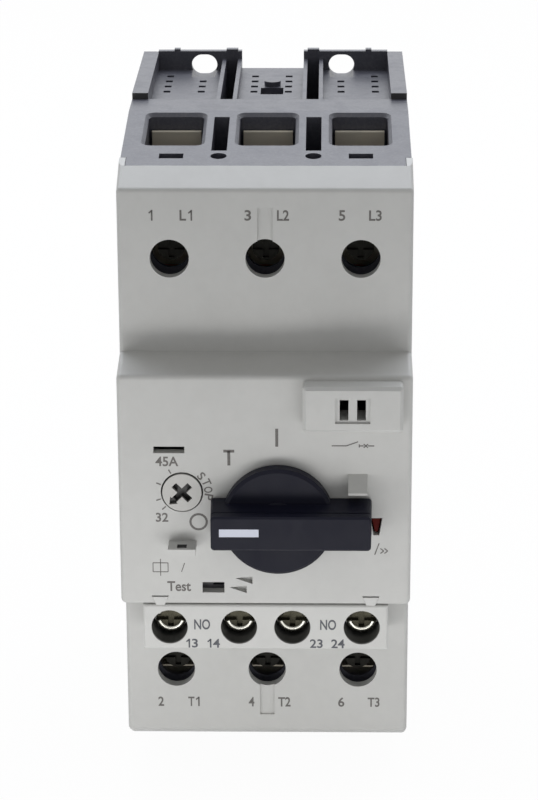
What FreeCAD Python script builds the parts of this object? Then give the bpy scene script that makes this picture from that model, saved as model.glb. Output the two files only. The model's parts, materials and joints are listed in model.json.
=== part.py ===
"""Three-pole motor protection circuit breaker, built from separate pieces.

Frame in millimetres: +X right as seen from the front, +Y to the rear, +Z up. The origin lies on the
mid-plane, on the rear mounting plane, at the height of the rail's centre line. The front faces -Y.
"""
import FreeCAD, Part
import math
import os

import Sketcher

# Sizes in millimetres: name, value or the formula it follows from, what it is.
SIZES = [
    ("body_width", 54.0, "width over the front cover"),
    ("side_step", 0.2, "dark housings narrower than the cover on each side"),
    ("base_width", "=body_width - side_step * 2", "width over the dark housings"),
    ("body_depth", 92.0, "rear plane to the central front face"),
    ("upper_setback", 9.5, "central face back to the upper terminal face"),
    ("lower_setback", 11.0, "central face back to the lower terminal face"),
    ("cover_depth", 16.0, "central face back to the pole housing"),
    ("pole_front", "=body_depth - cover_depth", "rear plane to the front of the pole housing"),
    ("skirt_length", 4.0, "cover's side walls over the pole housing"),
    ("skirt_front", "=pole_front - skirt_length", "rear plane to the rear edge of the cover's side walls"),
    ("base_depth", 38.0, "depth of the mounting base"),
    ("central_half", 22.0, "rail centre up to the upper edge of the central face"),
    ("central_low", 22.9, "rail centre down to the lower edge of the central face"),
    ("ledge_rise", 1.6, "rise of the ledge above the central face"),
    ("front_fall", 6.3, "terminal front faces lower than the rear strip"),
    ("front_half", "=strip_half - front_fall", "half height of the terminal front faces"),
    ("lip_fall", 3.5, "cover's lip lower than the rear strip"),
    ("lip_half", "=strip_half - lip_fall", "half height where the cover meets the pole housing"),
    ("strip_half", 60.7, "half height over the rear strip of the pole housing"),
    ("strip_back", 28.5, "front of the pole housing back to the strip"),
    ("strip_front", "=pole_front - strip_back", "rear plane to the front edge of that strip"),
    ("side_rise", 1.2, "base's side walls higher than the strip"),
    ("side_half", "=strip_half + side_rise", "half height of the base's side walls"),
    ("floor_fall", 2.3, "vented floor lower than the strip"),
    ("floor_half", "=strip_half - floor_fall", "half height of the vented floor"),
    ("rim_rise", 1.6, "rear walls higher than the strip"),
    ("rim_half", "=strip_half + rim_rise", "half height of the rear walls"),
    ("peg_rise", 2.0, "pegs on the rear walls higher than the strip"),
    ("peg_half", "=strip_half + peg_rise", "half height over those pegs"),
    ("peg_x", 19.8, "outer pegs from the mid-plane"),
    ("peg_width", 1.2, "width of an outer peg"),
    ("cover_wall", 2.2, "wall of the front cover"),
    ("skirt_wall", 1.2, "cover's side walls where they lie over the pole housing"),
    ("under_wall", 1.1, "wall under the central section"),
    ("cover_edge", 0.9, "rounding of the cover's side edges"),
    ("nose_edge", 1.0, "rounding of the cover's cross edges"),
    ("seam_edge", 0.4, "rounding of the cross edge above the auxiliary block"),
    ("fit_gap", 0.3, "clearance between separate bodies"),
    ("pole_margin", 1.5, "width beyond three pole pitches"),
    ("pole_pitch", "=(body_width - pole_margin) / 3", "distance between poles"),
    ("chamber_width", 12.0, "width of an arc chamber"),
    ("floor_thick", 2.4, "thickness of the vented floor"),
    ("chamber_half", "=floor_half - floor_thick", "half height of an arc chamber"),
    ("chamber_rear", 9.0, "rear plane to the rear wall of an arc chamber"),
    ("window_width", 11.5, "width of a terminal chamber"),
    ("window_mouth", 10.6, "width of a conductor window"),
    ("window_bevel", 0.65, "bevel round a conductor window"),
    ("window_depth", 16.0, "depth of a conductor window"),
    ("window_back", 26.7, "front of the pole housing back to a window's rear wall"),
    ("window_rear", "=pole_front - window_back", "rear plane to a window's rear wall"),
    ("window_corner", 1.2, "corner radius of a window"),
    ("terminal_inset", 13.0, "edge of the terminal face to the terminal screws"),
    ("terminal_height", "=front_half - terminal_inset", "height of the terminal screws above the rail centre"),
    ("driver_hole", 7.2, "diameter of a screwdriver hole"),
    ("terminal_below", 10.1, "terminal screws to the terminal chambers' inner floor"),
    ("terminal_floor", "=terminal_height - terminal_below", "half height of that floor"),
    ("terminal_above", 6.6, "terminal screws to the roof of the chambers' forward part"),
    ("terminal_roof", "=terminal_height + terminal_above", "half height of that roof"),
    ("front_web", 1.0, "web in front of the terminal chambers"),
    ("cavity_wall", 3.8, "side wall of the mechanism space"),
    ("cavity_half_width", "=body_width / 2 - cavity_wall", "half width of the mechanism space"),
    ("cavity_shelf", 3.3, "wall between the mechanism space and the terminals"),
    ("cavity_half_height", "=terminal_floor - cavity_shelf", "half height of the mechanism space"),
    ("barrier_slot_width", 2.9, "width of a phase barrier slot"),
    ("barrier_slot_length", 17.5, "length of a phase barrier slot"),
    ("barrier_slot_step", 1.7, "window's rear wall to a barrier slot's rear end"),
    ("barrier_slot_rear", "=window_rear + barrier_slot_step", "rear plane to the rear end of a barrier slot"),
    ("barrier_slot_depth", 15.7, "depth of the phase barrier slots"),
    ("barrier_slot_floor", "=strip_half - barrier_slot_depth", "half height of the barrier slots' floor"),
    ("marker_hole", 3.0, "diameter of the round holes beside the slots"),
    ("marker_back", 4.8, "front of the pole housing to the row of holes and dashes"),
    ("marker_row", "=pole_front - marker_back", "rear plane to that row"),
    ("marker_depth", 2.0, "depth of the holes and dashes"),
    ("dash_length", 4.5, "length of the dash recesses"),
    ("dash_width", 2.4, "width of the dash recesses"),
    ("side_wall", 3.1, "side wall beside the vented floor"),
    ("rear_wall", 1.6, "rear wall behind the vented floor"),
    ("notch_width", 12.8, "width of the centre notch"),
    ("rib_inner", 7.2, "centre to the inner edge of the deep rear slots"),
    ("rib_outer", 9.6, "centre to the outer edge of the deep rear slots"),
    ("rib_thick", 0.8, "rib beside a deep rear slot"),
    ("deep_slot_depth", 8.4, "depth of the deep rear slots below the vented floor"),
    ("deep_slot_floor", "=floor_half - deep_slot_depth", "half height of the deep rear slots' floor"),
    ("vent_width", 1.4, "width of a vent slot"),
    ("vent_length", 1.6, "length of a vent slot"),
    ("vent_pitch", 4.6, "distance between vent rows"),
    ("vent_first", 7.9, "rear plane to the first vent row"),
    ("vent_offset", 3.45, "pole centre to a vent column"),
    ("dip_left", 2.1, "dip in the centre notch, left of the mid-plane"),
    ("dip_right", 2.45, "dip in the centre notch, right of the mid-plane"),
    ("dip_rear", 18.3, "rear plane to the dip in the centre notch"),
    ("dip_length", 5.7, "length of that dip"),
    ("dip_depth", 1.5, "depth of that dip"),
    ("boss_x", 0.2, "round boss in the centre notch from the mid-plane"),
    ("boss_y", 16.0, "round boss in the centre notch from the rear plane"),
    ("boss_radius", 1.65, "radius of that boss"),
    ("boss_rise", 1.0, "height of that boss"),
    ("foot_spacing", 28.4, "distance between the mounting slots across"),
    ("foot_rise", 1.05, "mounting slots above the vented floor"),
    ("foot_height", "=floor_half + foot_rise", "height of the mounting slots above the rail centre"),
    ("foot_slot_width", 4.3, "width of a mounting slot"),
    ("foot_slot_length", 5.3, "length of a mounting slot"),
    ("foot_slot_reach", 8.5, "how far a mounting slot runs forward"),
    ("rail_height", 35.4, "height of the rail recess"),
    ("rail_depth", 6.0, "depth of the rail recess"),
    ("rail_flange", 1.4, "groove for the rail's flange"),
    ("hook_reach", 1.7, "how far the fixed hook grips the rail"),
    ("latch_width", 12.0, "width of the rail latch"),
    ("latch_neck", 9.8, "width of the latch between its guides"),
    ("latch_front", 5.0, "rear plane to the front of the latch channel"),
    ("latch_lip", 2.2, "thickness of the lips that hold the latch"),
    ("latch_short", 1.2, "latch shorter than the base's side walls"),
    ("latch_foot", "=side_half - latch_short", "half height of the latch's lower end"),
    ("spring_top", 22.0, "half height of the latch spring's upper seat"),
    ("spring_length", 20.0, "length of the latch spring's pocket"),
    ("spring_radius", 1.3, "mean radius of the latch spring"),
    ("spring_wire", 0.3, "wire radius of the small springs"),
    ("screw_x", "=pole_pitch / 2", "long screws from the mid-plane"),
    ("screw_z", 37.0, "long screws from the rail centre"),
    ("screw_radius", 1.45, "shank radius of the long screws"),
    ("screw_head", 2.7, "head radius of the long screws"),
    ("screw_head_depth", 2.4, "head height of the long screws"),
    ("screw_boss", 3.2, "radius of the cover's screw bosses"),
    ("handle_x", 2.4, "handle axis from the mid-plane"),
    ("handle_z", -5.37, "handle axis from the rail centre"),
    ("knob_radius", 10.35, "radius of the handle's disc"),
    ("knob_disc", 2.8, "thickness of the handle's disc"),
    ("knob_bevel", 0.6, "bevel of the disc's rim"),
    ("knob_lift", 0.4, "gap behind the handle"),
    ("bar_pointer", 12.15, "handle bar, axis to the pointer end at its front"),
    ("bar_tail", 17.05, "handle bar, axis to the tail end at its front"),
    ("bar_height", 6.56, "height of the handle bar at its front"),
    ("bar_flare", 0.54, "handle bar wider at its base, above and below"),
    ("bar_draft", 0.22, "handle bar longer at its base, at each end"),
    ("bar_reach", 8.4, "handle bar, base to front face"),
    ("bar_line_depth", 0.3, "depth of the lines along the handle bar"),
    ("bar_line_back", 1.9, "front face to the lines along the handle bar"),
    ("bar_round", 0.7, "rounding of the handle bar's corners"),
    ("bar_rim", 0.35, "bevel of the handle bar's front rim"),
    ("marker_length", 7.2, "length of the white marker"),
    ("marker_height", 1.5, "height of the white marker"),
    ("marker_centre", 7.0, "axis to the centre of the white marker"),
    ("marker_up", 0.2, "white marker above the axis"),
    ("marker_inset", 0.5, "depth of the white marker's recess"),
    ("shaft_radius", 4.0, "radius of the handle shaft"),
    ("shaft_socket", 3.0, "depth of the shaft in the handle"),
    ("shaft_neck", 2.5, "radius of the shaft behind its front crank"),
    ("drum_radius", 5.2, "radius of the shaft inside the main spring"),
    ("crank_disc", 6.4, "radius of the crank discs"),
    ("crank_thick", 1.6, "thickness of the crank discs"),
    ("aux_crank", 5.2, "throw of the front crank pin"),
    ("aux_crank_back", 11.0, "central face back to the front crank disc"),
    ("aux_crank_front", "=body_depth - aux_crank_back", "rear plane to the front crank disc"),
    ("aux_pin", 1.1, "radius of the front crank pin"),
    ("main_crank", 3.5, "throw of the rear crank pin"),
    ("main_crank_step", 14.0, "front of the base to the rear crank disc"),
    ("main_crank_front", "=base_depth + main_crank_step", "rear plane to the rear crank disc"),
    ("main_pin", 1.3, "radius of the rear crank pin"),
    ("pin_play", 0.25, "play of a crank pin in its slot"),
    ("dial_x", -15.3, "setting dial from the mid-plane"),
    ("dial_z", -0.6, "setting dial from the rail centre"),
    ("dial_radius", 3.62, "radius of the setting dial"),
    ("dial_flange", 5.0, "radius of the dial's flange behind the cover"),
    ("dial_cross", 4.2, "length of the dial's cross recess"),
    ("dial_cross_width", 1.2, "width of the dial's cross recess"),
    ("dial_cross_depth", 2.0, "depth of the dial's cross recess"),
    ("dial_arrow", 1.0, "half width of the dial's arrow head"),
    ("dial_arrow_length", 1.25, "length of the dial's arrow head"),
    ("test_x", -9.69, "test slot from the mid-plane"),
    ("test_z", -19.6, "test slot from the rail centre"),
    ("test_length", 4.1, "length of the test slot"),
    ("test_height", 2.1, "height of the test slot"),
    ("test_travel", 2.5, "travel of the test slide"),
    ("flag_x", 20.57, "trip window from the mid-plane"),
    ("flag_z", -7.3, "trip window from the rail centre"),
    ("flag_width", 2.2, "width of the trip window at its top"),
    ("flag_foot", 1.1, "width of the trip window at its foot"),
    ("flag_height", 3.4, "height of the trip window"),
    ("flag_recess", 1.0, "trip flag behind the central face"),
    ("seal_slot_x", -17.6, "sealing slot from the mid-plane"),
    ("seal_slot_z", 7.7, "sealing slot from the rail centre"),
    ("seal_slot_length", 5.7, "length of the sealing slot"),
    ("seal_slot_height", 1.3, "height of the sealing slot"),
    ("lug_x", -15.3, "sealing lug from the mid-plane"),
    ("lug_z", -10.85, "sealing lug from the rail centre"),
    ("lug_width", 5.1, "width of the sealing lug"),
    ("lug_height", 1.3, "height of the sealing lug"),
    ("lug_reach", 4.5, "reach of the sealing lug"),
    ("lug_hole_width", 1.7, "width of the lug's wire hole"),
    ("lug_hole_depth", 1.6, "depth of the lug's wire hole"),
    ("lug_hole_start", 2.0, "central face to the lug's wire hole"),
    ("stop_x", 17.05, "stop block from the mid-plane"),
    ("stop_low", -1.1, "stop block's lower face from the rail centre"),
    ("stop_high", 3.1, "stop block's upper edge at the central face"),
    ("stop_width", 3.5, "width of the stop block"),
    ("stop_shoulder", 0.75, "stop block's upper edge at its front"),
    ("stop_lift", 0.3, "stop block's lower edge at its front"),
    ("stop_reach", 3.85, "reach of the stop block"),
    ("plate_left", 6.95, "accessory cover, left edge"),
    ("plate_side", 1.8, "accessory cover's right edge from the side of the cover"),
    ("plate_right", "=body_width / 2 - plate_side", "accessory cover, right edge"),
    ("plate_low", 12.5, "accessory cover, lower edge"),
    ("plate_high", 21.15, "accessory cover, upper edge"),
    ("plate_raise", 3.9, "accessory cover proud of the central face"),
    ("plate_margin", 1.2, "accessory cover, border over its opening"),
    ("plate_skirt", 0.9, "accessory cover, skirt wall"),
    ("plate_shell", 0.9, "accessory cover, front wall"),
    ("slit_width", 1.6, "width of an accessory cover slit"),
    ("slit_height", 3.9, "height of an accessory cover slit"),
    ("slit_left", 14.46, "left slit from the mid-plane"),
    ("slit_right", 17.61, "right slit from the mid-plane"),
    ("slit_z", 16.7, "slits from the rail centre"),
    ("aux_side", 4.1, "auxiliary block from the side of the cover"),
    ("aux_half_width", "=body_width / 2 - aux_side", "half width of the auxiliary block"),
    ("aux_height", 9.0, "height of the auxiliary block's face"),
    ("aux_plug_side", 3.3, "plug narrower than the block on each side"),
    ("aux_plug_half", "=aux_half_width - aux_plug_side", "half width of the block's plug"),
    ("aux_plug_inset", 2.1, "plug smaller than the face above and below"),
    ("aux_plug_gap", 0.4, "plug's rear end to the pole housing"),
    ("aux_plug_rear", "=pole_front + aux_plug_gap", "rear plane to the plug's rear end"),
    ("aux_tab_in", 3.25, "dovetails from the block's ends"),
    ("aux_tab_x", "=aux_half_width - aux_tab_in", "dovetails from the mid-plane"),
    ("aux_tab_width", 2.9, "width of a dovetail"),
    ("aux_tab_rise", 1.6, "height of a dovetail"),
    ("aux_tab_depth", 3.0, "depth of a dovetail"),
    ("aux_screw_in", 4.9, "outer block screws from the block's end"),
    ("aux_screw_outer", "=aux_half_width - aux_screw_in", "outer block screws from the mid-plane"),
    ("aux_screw_inner", 5.0, "inner block screws from the mid-plane"),
    ("aux_screw_z", -27.7, "block screws from the rail centre"),
    ("aux_hole", 6.8, "diameter of the block's screw holes"),
    ("aux_hole_depth", 6.8, "depth of the block's screw holes"),
    ("aux_head_radius", 2.9, "head radius of a block screw"),
    ("aux_head_sink", 4.6, "block screw heads behind the face"),
    ("aux_head_thick", 1.8, "head height of a block screw"),
    ("aux_shank", 1.4, "shank radius of a block screw"),
    ("aux_entry", 2.8, "depth of the block's wire entries"),
    ("clamp_plate", 1.0, "thickness of a block clamp plate"),
    ("slot_width", 1.1, "width of a screw's driver slot"),
    ("slot_depth", 1.0, "depth of a screw's driver slot"),
    ("strip_thick", 1.5, "thickness of the busbar strips"),
    ("strip_width", 7.4, "width of the busbar strips"),
    ("tongue_back", 16.0, "front of the pole housing to a terminal tongue's rear face"),
    ("tongue_rear", "=pole_front - tongue_back", "rear plane to the rear face of a terminal tongue"),
    ("strip_seat", 0.2, "terminal chambers' floor to the inner busbar faces"),
    ("strip_level", "=terminal_floor + strip_seat", "half height of the inner busbar faces"),
    ("contact_line_back", 4.0, "front of the base to the front contacts"),
    ("contact_line", "=base_depth - contact_line_back", "rear plane to the front contacts"),
    ("contact_load_step", 5.0, "arc chambers' rear wall to the rear contacts"),
    ("contact_load", "=chamber_rear + contact_load_step", "rear plane to the rear contacts"),
    ("contact_size", 4.0, "side of a contact tip"),
    ("contact_tip", 0.5, "thickness of a fixed contact tip"),
    ("cage_width", 10.0, "width of a terminal cage"),
    ("cage_wall", 1.0, "side strap of a terminal cage"),
    ("cage_plate", 1.5, "rear plate of a terminal cage"),
    ("cage_nut", 2.0, "threaded plate of a terminal cage"),
    ("cage_height", 12.0, "height of a terminal cage"),
    ("cage_length", 16.2, "depth of a terminal cage"),
    ("cage_gap", 0.5, "cage to the window's rear wall"),
    ("cage_back_width", 9.4, "width of the cage's tall rear plate"),
    ("cage_back_fall", 3.3, "cage's tall rear plate lower than the strip"),
    ("cage_back_rise", "=strip_half - cage_back_fall", "half height of the cage's tall rear plate"),
    ("terminal_shank", 2.5, "radius of a headless terminal screw"),
    ("terminal_sink", 1.4, "terminal screws behind the front of the pole housing"),
    ("terminal_front", "=pole_front - terminal_sink", "rear plane to the front of a terminal screw"),
    ("thread_play", 0.06, "radial play of a thread"),
    ("bridge_width", 5.6, "width of a contact bridge"),
    ("bridge_thick", 2.0, "thickness of a contact bridge"),
    ("bridge_drop", 8.5, "bridges below the fixed contacts' strip, contacts open"),
    ("bridge_level", "=strip_level - bridge_drop", "height of the bridges' lower face, contacts open"),
    ("bridge_tip", 1.0, "thickness of a bridge's contact tip"),
    ("bridge_overhang", 0.4, "bridge beyond its contact tips"),
    ("bar_thick", 6.0, "height of the contact carrier's bar"),
    ("spring_room", 5.0, "carrier bar to the bridges"),
    ("bar_high", "=bridge_level - spring_room", "height of the contact carrier's upper face"),
    ("bar_low", "=bar_high - bar_thick", "height of the contact carrier's lower face"),
    ("carrier_back", 9.0, "front of the base to the carrier bar"),
    ("carrier_front", "=base_depth - carrier_back", "rear plane to the front of the carrier bar"),
    ("carrier_step", 10.0, "arc chambers' rear wall to the carrier bar"),
    ("carrier_rear", "=chamber_rear + carrier_step", "rear plane to the rear of the carrier bar"),
    ("carrier_end", 3.3, "carrier bar beyond the outer poles"),
    ("carrier_half", "=pole_pitch + carrier_end", "half width of the carrier bar"),
    ("post_half", 1.5, "half side of a bridge post"),
    ("post_rise", 4.2, "bridge posts above the bridges' lower face"),
    ("post_top", "=bridge_level + post_rise", "height of the bridge posts"),
    ("contact_spring_radius", 2.6, "mean radius of a contact spring"),
    ("yoke_step", 6.0, "front of the base to the carrier's yoke"),
    ("yoke_rear", "=base_depth + yoke_step", "rear plane to the rear of the carrier's yoke"),
    ("yoke_thick", 2.5, "thickness of the carrier's yoke"),
    ("yoke_half", 4.8, "half width of the carrier's yoke"),
    ("yoke_foot", 2.0, "yoke below its slot"),
    ("arc_plate", 1.0, "thickness of an arc plate"),
    ("arc_rear_gap", 3.5, "last arc plate to the chamber's rear wall"),
    ("arc_back", 3.5, "front of the base to the first arc plate"),
    ("arc_front", "=base_depth - arc_back", "rear plane to the first arc plate"),
    ("arc_pitch", "=(arc_front - chamber_rear - arc_rear_gap - arc_plate) / 7", "distance between arc plates"),
    ("arc_clear", 2.5, "arc plates above the inner busbar faces"),
    ("arc_low", "=strip_level + arc_clear", "height of the arc plates' lower edge"),
    ("arc_roof", 1.4, "arc plates below the chamber's roof"),
    ("arc_high", "=chamber_half - arc_roof", "height of the arc plates' upper edge"),
    ("arc_width", 10.0, "width of an arc plate"),
    ("arc_notch", 3.0, "half width of the notch in an arc plate"),
    ("arc_notch_rise", 8.0, "height of the notch in an arc plate"),
    ("cheek_thick", 0.6, "thickness of an arc chute cheek"),
    ("coil_outer", 5.45, "outer radius of a trip coil over its corners"),
    ("coil_inner", 3.2, "inner radius of a trip coil"),
    ("coil_wire", 0.9, "half side of a trip coil's wire"),
    ("coil_back", 13.5, "front of the base back to the trip coils' axis"),
    ("coil_y", "=coil_back - base_depth", "trip coil axis from the rear plane"),
    ("coil_length", 20.6, "length of a trip coil"),
    ("coil_rise", 7.8, "trip coils above the load busbars' inner faces"),
    ("coil_high", "=coil_rise - strip_level", "upper end of a trip coil"),
    ("coil_low", "=coil_high - coil_length", "lower end of a trip coil"),
    ("yoke_plate", 1.5, "thickness of a coil yoke"),
    ("yoke_half_width", 5.3, "half width of a coil yoke"),
    ("plunger_radius", 2.8, "radius of a trip plunger"),
    ("plunger_length", 19.0, "length of a trip plunger"),
    ("plunger_rise", 3.0, "plunger above its yoke"),
    ("bimetal_thick", 1.0, "thickness of a bimetal"),
    ("bimetal_width", 6.0, "width of a bimetal"),
    ("bimetal_step", 6.0, "front of the base to the bimetals"),
    ("bimetal_y", "=-(base_depth + bimetal_step)", "bimetals from the rear plane"),
    ("bimetal_top", -14.0, "height of the bimetals' free ends"),
    ("bimetal_foot", 5.0, "width of a bimetal's foot"),
    ("trip_low", -19.5, "height of the trip bar's lower face"),
    ("trip_high", -16.0, "height of the trip bar's upper face"),
    ("trip_step", 10.5, "front of the base to the trip bar"),
    ("trip_depth", 3.5, "depth of the trip bar"),
    ("trip_rear", "=base_depth + trip_step", "rear plane to the rear of the trip bar"),
    ("trip_front", "=trip_rear + trip_depth", "rear plane to the front of the trip bar"),
    ("trip_end", 2.7, "trip bar beyond the outer poles"),
    ("trip_half", "=pole_pitch + trip_end", "half width of the trip bar"),
    ("trip_finger", 1.5, "width of a trip bar finger"),
    ("trip_reach", 0.7, "trip bar finger to its bimetal"),
    ("trip_arm_x", -15.6, "trip bar arm from the mid-plane"),
    ("trip_arm_width", 2.0, "width of the trip bar arm"),
    ("trip_arm_back", 6.4, "central face back to the trip bar arm"),
    ("trip_arm_front", "=body_depth - trip_arm_back", "rear plane to the front of the trip bar arm"),
    ("push_gap", 0.4, "test slide to the trip bar arm"),
    ("chassis_back", 3.8, "front of the pole housing to the mechanism plate"),
    ("chassis_front", "=pole_front - chassis_back", "rear plane to the front of the mechanism plate"),
    ("chassis_thick", 1.5, "thickness of the mechanism plate"),
    ("latch_pivot_x", -12.6, "latch lever pivot from the mid-plane"),
    ("latch_pivot_z", 5.0, "latch lever pivot from the rail centre"),
    ("latch_pin", 1.5, "radius of the latch lever pivot"),
    ("latch_thick", 2.0, "thickness of the latch lever"),
    ("latch_arm", 2.8, "width of the latch lever"),
    ("latch_nose", 7.2, "reach of the latch lever's nose"),
    ("main_spring_wire", 0.5, "wire radius of the main spring"),
    ("main_spring_back", 9.0, "front of the pole housing to the main spring"),
    ("main_spring_front", "=pole_front - main_spring_back", "rear plane to the front of the main spring"),
    ("main_spring_length", 7.0, "length of the main spring"),
    ("groove_width", 2.8, "width of the groove over the centre terminal"),
    ("groove_depth", 0.5, "depth of that groove"),
    ("groove_end", 3.4, "groove end to the edge of the front face"),
    ("arrow_upper_x", -5.6, "tip of the upper test arrow from the mid-plane"),
    ("arrow_upper_z", -17.75, "tip of the upper test arrow from the rail centre"),
    ("arrow_lower_x", -6.7, "tip of the lower test arrow from the mid-plane"),
    ("arrow_lower_z", -19.6, "tip of the lower test arrow from the rail centre"),
    ("arrow_length", 3.2, "length of a test arrow"),
    ("arrow_rise", 0.35, "test arrow above its tip"),
    ("arrow_fall", 1.15, "test arrow below its tip"),
    ("arrow_depth", 1.2, "depth of a test arrow"),
    ("plate_corner", 0.6, "corner radius of the accessory cover"),
    ("plate_edge", 0.6, "bevel of the accessory cover's rim"),
    ("slit_frame", 0.5, "frame around the accessory cover's slits"),
    ("aux_edge", 0.5, "rounding of the auxiliary block's rim"),
    ("aux_tab_taper", 0.65, "taper of a dovetail"),
    ("aux_room_half", 13.0, "half width of the block's contact space"),
    ("aux_room_depth", 2.4, "depth of the block's contact space"),
    ("aux_fork", 2.0, "width of a tine of the auxiliary slide"),
    ("aux_bridge_thick", 0.5, "thickness of an auxiliary bridge"),
    ("aux_bridge_height", 1.0, "height of an auxiliary bridge"),
    ("test_thick", 1.4, "thickness of the test slide"),
    ("test_lug", 4.2, "depth of the test slide's lug"),
    ("flag_stem", 8.0, "length of the trip flag's stem"),
    ("cheek_gap", 0.2, "arc plate to its cheek"),
]

POLES = (("left", -1), ("centre", 0), ("right", 1))
SIDES = (("line", 1), ("load", -1))
QUARTER = math.sqrt(0.5)
VENT_ROWS = 4
ARC_PLATES = 8
COIL_TURNS = 5
SPRING_TURNS = 5
RUNS = 8
TIGHT = 1e-4
CLOSE = 1e-3

doc = FreeCAD.newDocument("motor_breaker")
sheet = doc.addObject("Spreadsheet::Sheet", "sizes")
pieces = []


class Dim:
    """A length that keeps its number together with the sheet expression it comes from."""

    def __init__(self, value, text):
        self.value = value
        self.text = text

    def __add__(self, other):
        other = as_dim(other)
        return Dim(self.value + other.value, f"({self.text} + {other.text})")

    def __sub__(self, other):
        other = as_dim(other)
        return Dim(self.value - other.value, f"({self.text} - {other.text})")

    def __mul__(self, other):
        other = as_dim(other)
        return Dim(self.value * other.value, f"({self.text} * {other.text})")

    def __truediv__(self, other):
        other = as_dim(other)
        return Dim(self.value / other.value, f"({self.text} / {other.text})")

    def __radd__(self, other):
        return as_dim(other) + self

    def __rsub__(self, other):
        return as_dim(other) - self

    def __rmul__(self, other):
        return as_dim(other) * self

    def __neg__(self):
        return as_dim(0.0) - self


def as_dim(number):
    """A plain number or a Dim, as a Dim."""
    if isinstance(number, Dim):
        return number
    return Dim(float(number), repr(float(number)))


class Sizes:
    """The sheet's cells by name."""


size = Sizes()
for row, (alias, value, meaning) in enumerate(SIZES, start=1):
    sheet.set(f"A{row}", meaning)
    sheet.set(f"B{row}", str(value))
    sheet.setAlias(f"B{row}", alias)
doc.recompute()
for alias, value, meaning in SIZES:
    setattr(size, alias, Dim(float(sheet.get(alias)), f"sizes.{alias}"))


def bind(item, prop, length):
    """Tie one property to the sheet."""
    item.setExpression(prop, as_dim(length).text)


def about(centre, half):
    """The span that lies half to each side of a centre."""
    return (as_dim(centre) - half, as_dim(centre) + half)


def behind(front, thick):
    """The span of depth that starts at a distance from the rear plane and runs back by thick."""
    return (-as_dim(front), thick - as_dim(front))


def keep(item, label):
    """Name a finished piece."""
    item.Label = label
    pieces.append(item)
    return item


# Simple solids and their combinations.


def box(name, x, y, z):
    item = doc.addObject("Part::Box", name)
    for prop, axis, span in (("Length", "x", x), ("Width", "y", y), ("Height", "z", z)):
        bind(item, prop, as_dim(span[1]) - span[0])
        bind(item, f"Placement.Base.{axis}", span[0])
    return item


TURNS = {
    "X": FreeCAD.Rotation(FreeCAD.Vector(0, 1, 0), 90),
    "Y": FreeCAD.Rotation(FreeCAD.Vector(1, 0, 0), -90),
    "Z": FreeCAD.Rotation(),
}


def cylinder(name, axis, across, along, radius):
    """A cylinder along an axis; across holds its centre in the other two axes, in X, Y, Z order."""
    item = doc.addObject("Part::Cylinder", name)
    item.Placement = FreeCAD.Placement(FreeCAD.Vector(), TURNS[axis])
    bind(item, "Radius", radius)
    bind(item, "Height", as_dim(along[1]) - along[0])
    others = [letter for letter in "XYZ" if letter != axis]
    bind(item, f"Placement.Base.{others[0].lower()}", across[0])
    bind(item, f"Placement.Base.{others[1].lower()}", across[1])
    bind(item, f"Placement.Base.{axis.lower()}", along[0])
    return item


def fuse(name, *parts):
    item = doc.addObject("Part::MultiFuse", name)
    item.Shapes = list(parts)
    item.Refine = True
    return item


def cut(name, base, *tools):
    item = doc.addObject("Part::Cut", name)
    item.Base = base
    item.Tool = tools[0] if len(tools) == 1 else fuse(f"{name}_tools", *tools)
    return item


def group(name, parts):
    item = doc.addObject("Part::Compound", name)
    item.Links = list(parts)
    return item


def winding(name, axis, across, along, radius, wire, turns):
    """A helix of straight square-wire runs; radius reaches the middle of a run, wire is half its side."""
    corner = as_dim(radius).value / math.cos(math.pi / RUNS)
    height = (as_dim(along[1]) - along[0] - wire * 2).value
    steps = turns * RUNS
    points = []
    for step in range(steps + 1):
        angle = 2 * math.pi * step / RUNS
        points.append(FreeCAD.Vector(corner * math.cos(angle), corner * math.sin(angle), height * step / steps))
    spine = doc.addObject("Part::Feature", f"{name}_spine")
    spine.Shape = Part.makePolygon(points)
    section = doc.addObject("Part::RegularPolygon", f"{name}_wire")
    section.Polygon = 4
    bind(section, "Circumradius", as_dim(wire) / QUARTER)
    upright = FreeCAD.Rotation(FreeCAD.Vector(1, 0, 0), 90)
    section.Placement.Rotation = upright * FreeCAD.Rotation(FreeCAD.Vector(0, 0, 1), 45)
    section.Placement.Base = points[0]
    item = doc.addObject("Part::Sweep", name)
    item.Sections = [section]
    item.Spine = (spine, [f"Edge{step + 1}" for step in range(steps)])
    item.Solid = True
    item.Transition = "Right corner"
    quarter_turn = FreeCAD.Rotation(FreeCAD.Vector(0, 0, 1), 90)
    item.Placement = FreeCAD.Placement(FreeCAD.Vector(), TURNS[axis] * quarter_turn)
    others = [letter for letter in "XYZ" if letter != axis]
    bind(item, f"Placement.Base.{others[0].lower()}", across[0])
    bind(item, f"Placement.Base.{others[1].lower()}", across[1])
    bind(item, f"Placement.Base.{axis.lower()}", as_dim(along[0]) + wire)
    return item


# Bodies made of sketches and features.

PLANES = {"XZ": ("XZ_Plane", -1), "XY": ("XY_Plane", 1), "YZ": ("YZ_Plane", 1)}


def new_body(name):
    return doc.addObject("PartDesign::Body", name)


def sketch(body, plane, level):
    """A sketch on one of the body's own planes, moved to a level along the plane's row axis."""
    role, sign = PLANES[plane]
    item = body.newObject("Sketcher::SketchObject", f"{body.Name}_sketch")
    support = [feature for feature in body.Origin.OriginFeatures if feature.Role == role]
    item.AttachmentSupport = [(support[0], "")]
    item.MapMode = "FlatFace"
    bind(item, "AttachmentOffset.Base.z", as_dim(level) * sign)
    return item


def pin_point(profile, geometry, corner, point):
    """Tie one point of a sketch to the sheet."""
    for kind, coordinate in (("DistanceX", point[0]), ("DistanceY", point[1])):
        coordinate = as_dim(coordinate)
        constraint = Sketcher.Constraint(kind, -1, 1, geometry, corner, coordinate.value)
        index = profile.addConstraint(constraint)
        profile.setExpression(f"Constraints[{index}]", coordinate.text)


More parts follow.
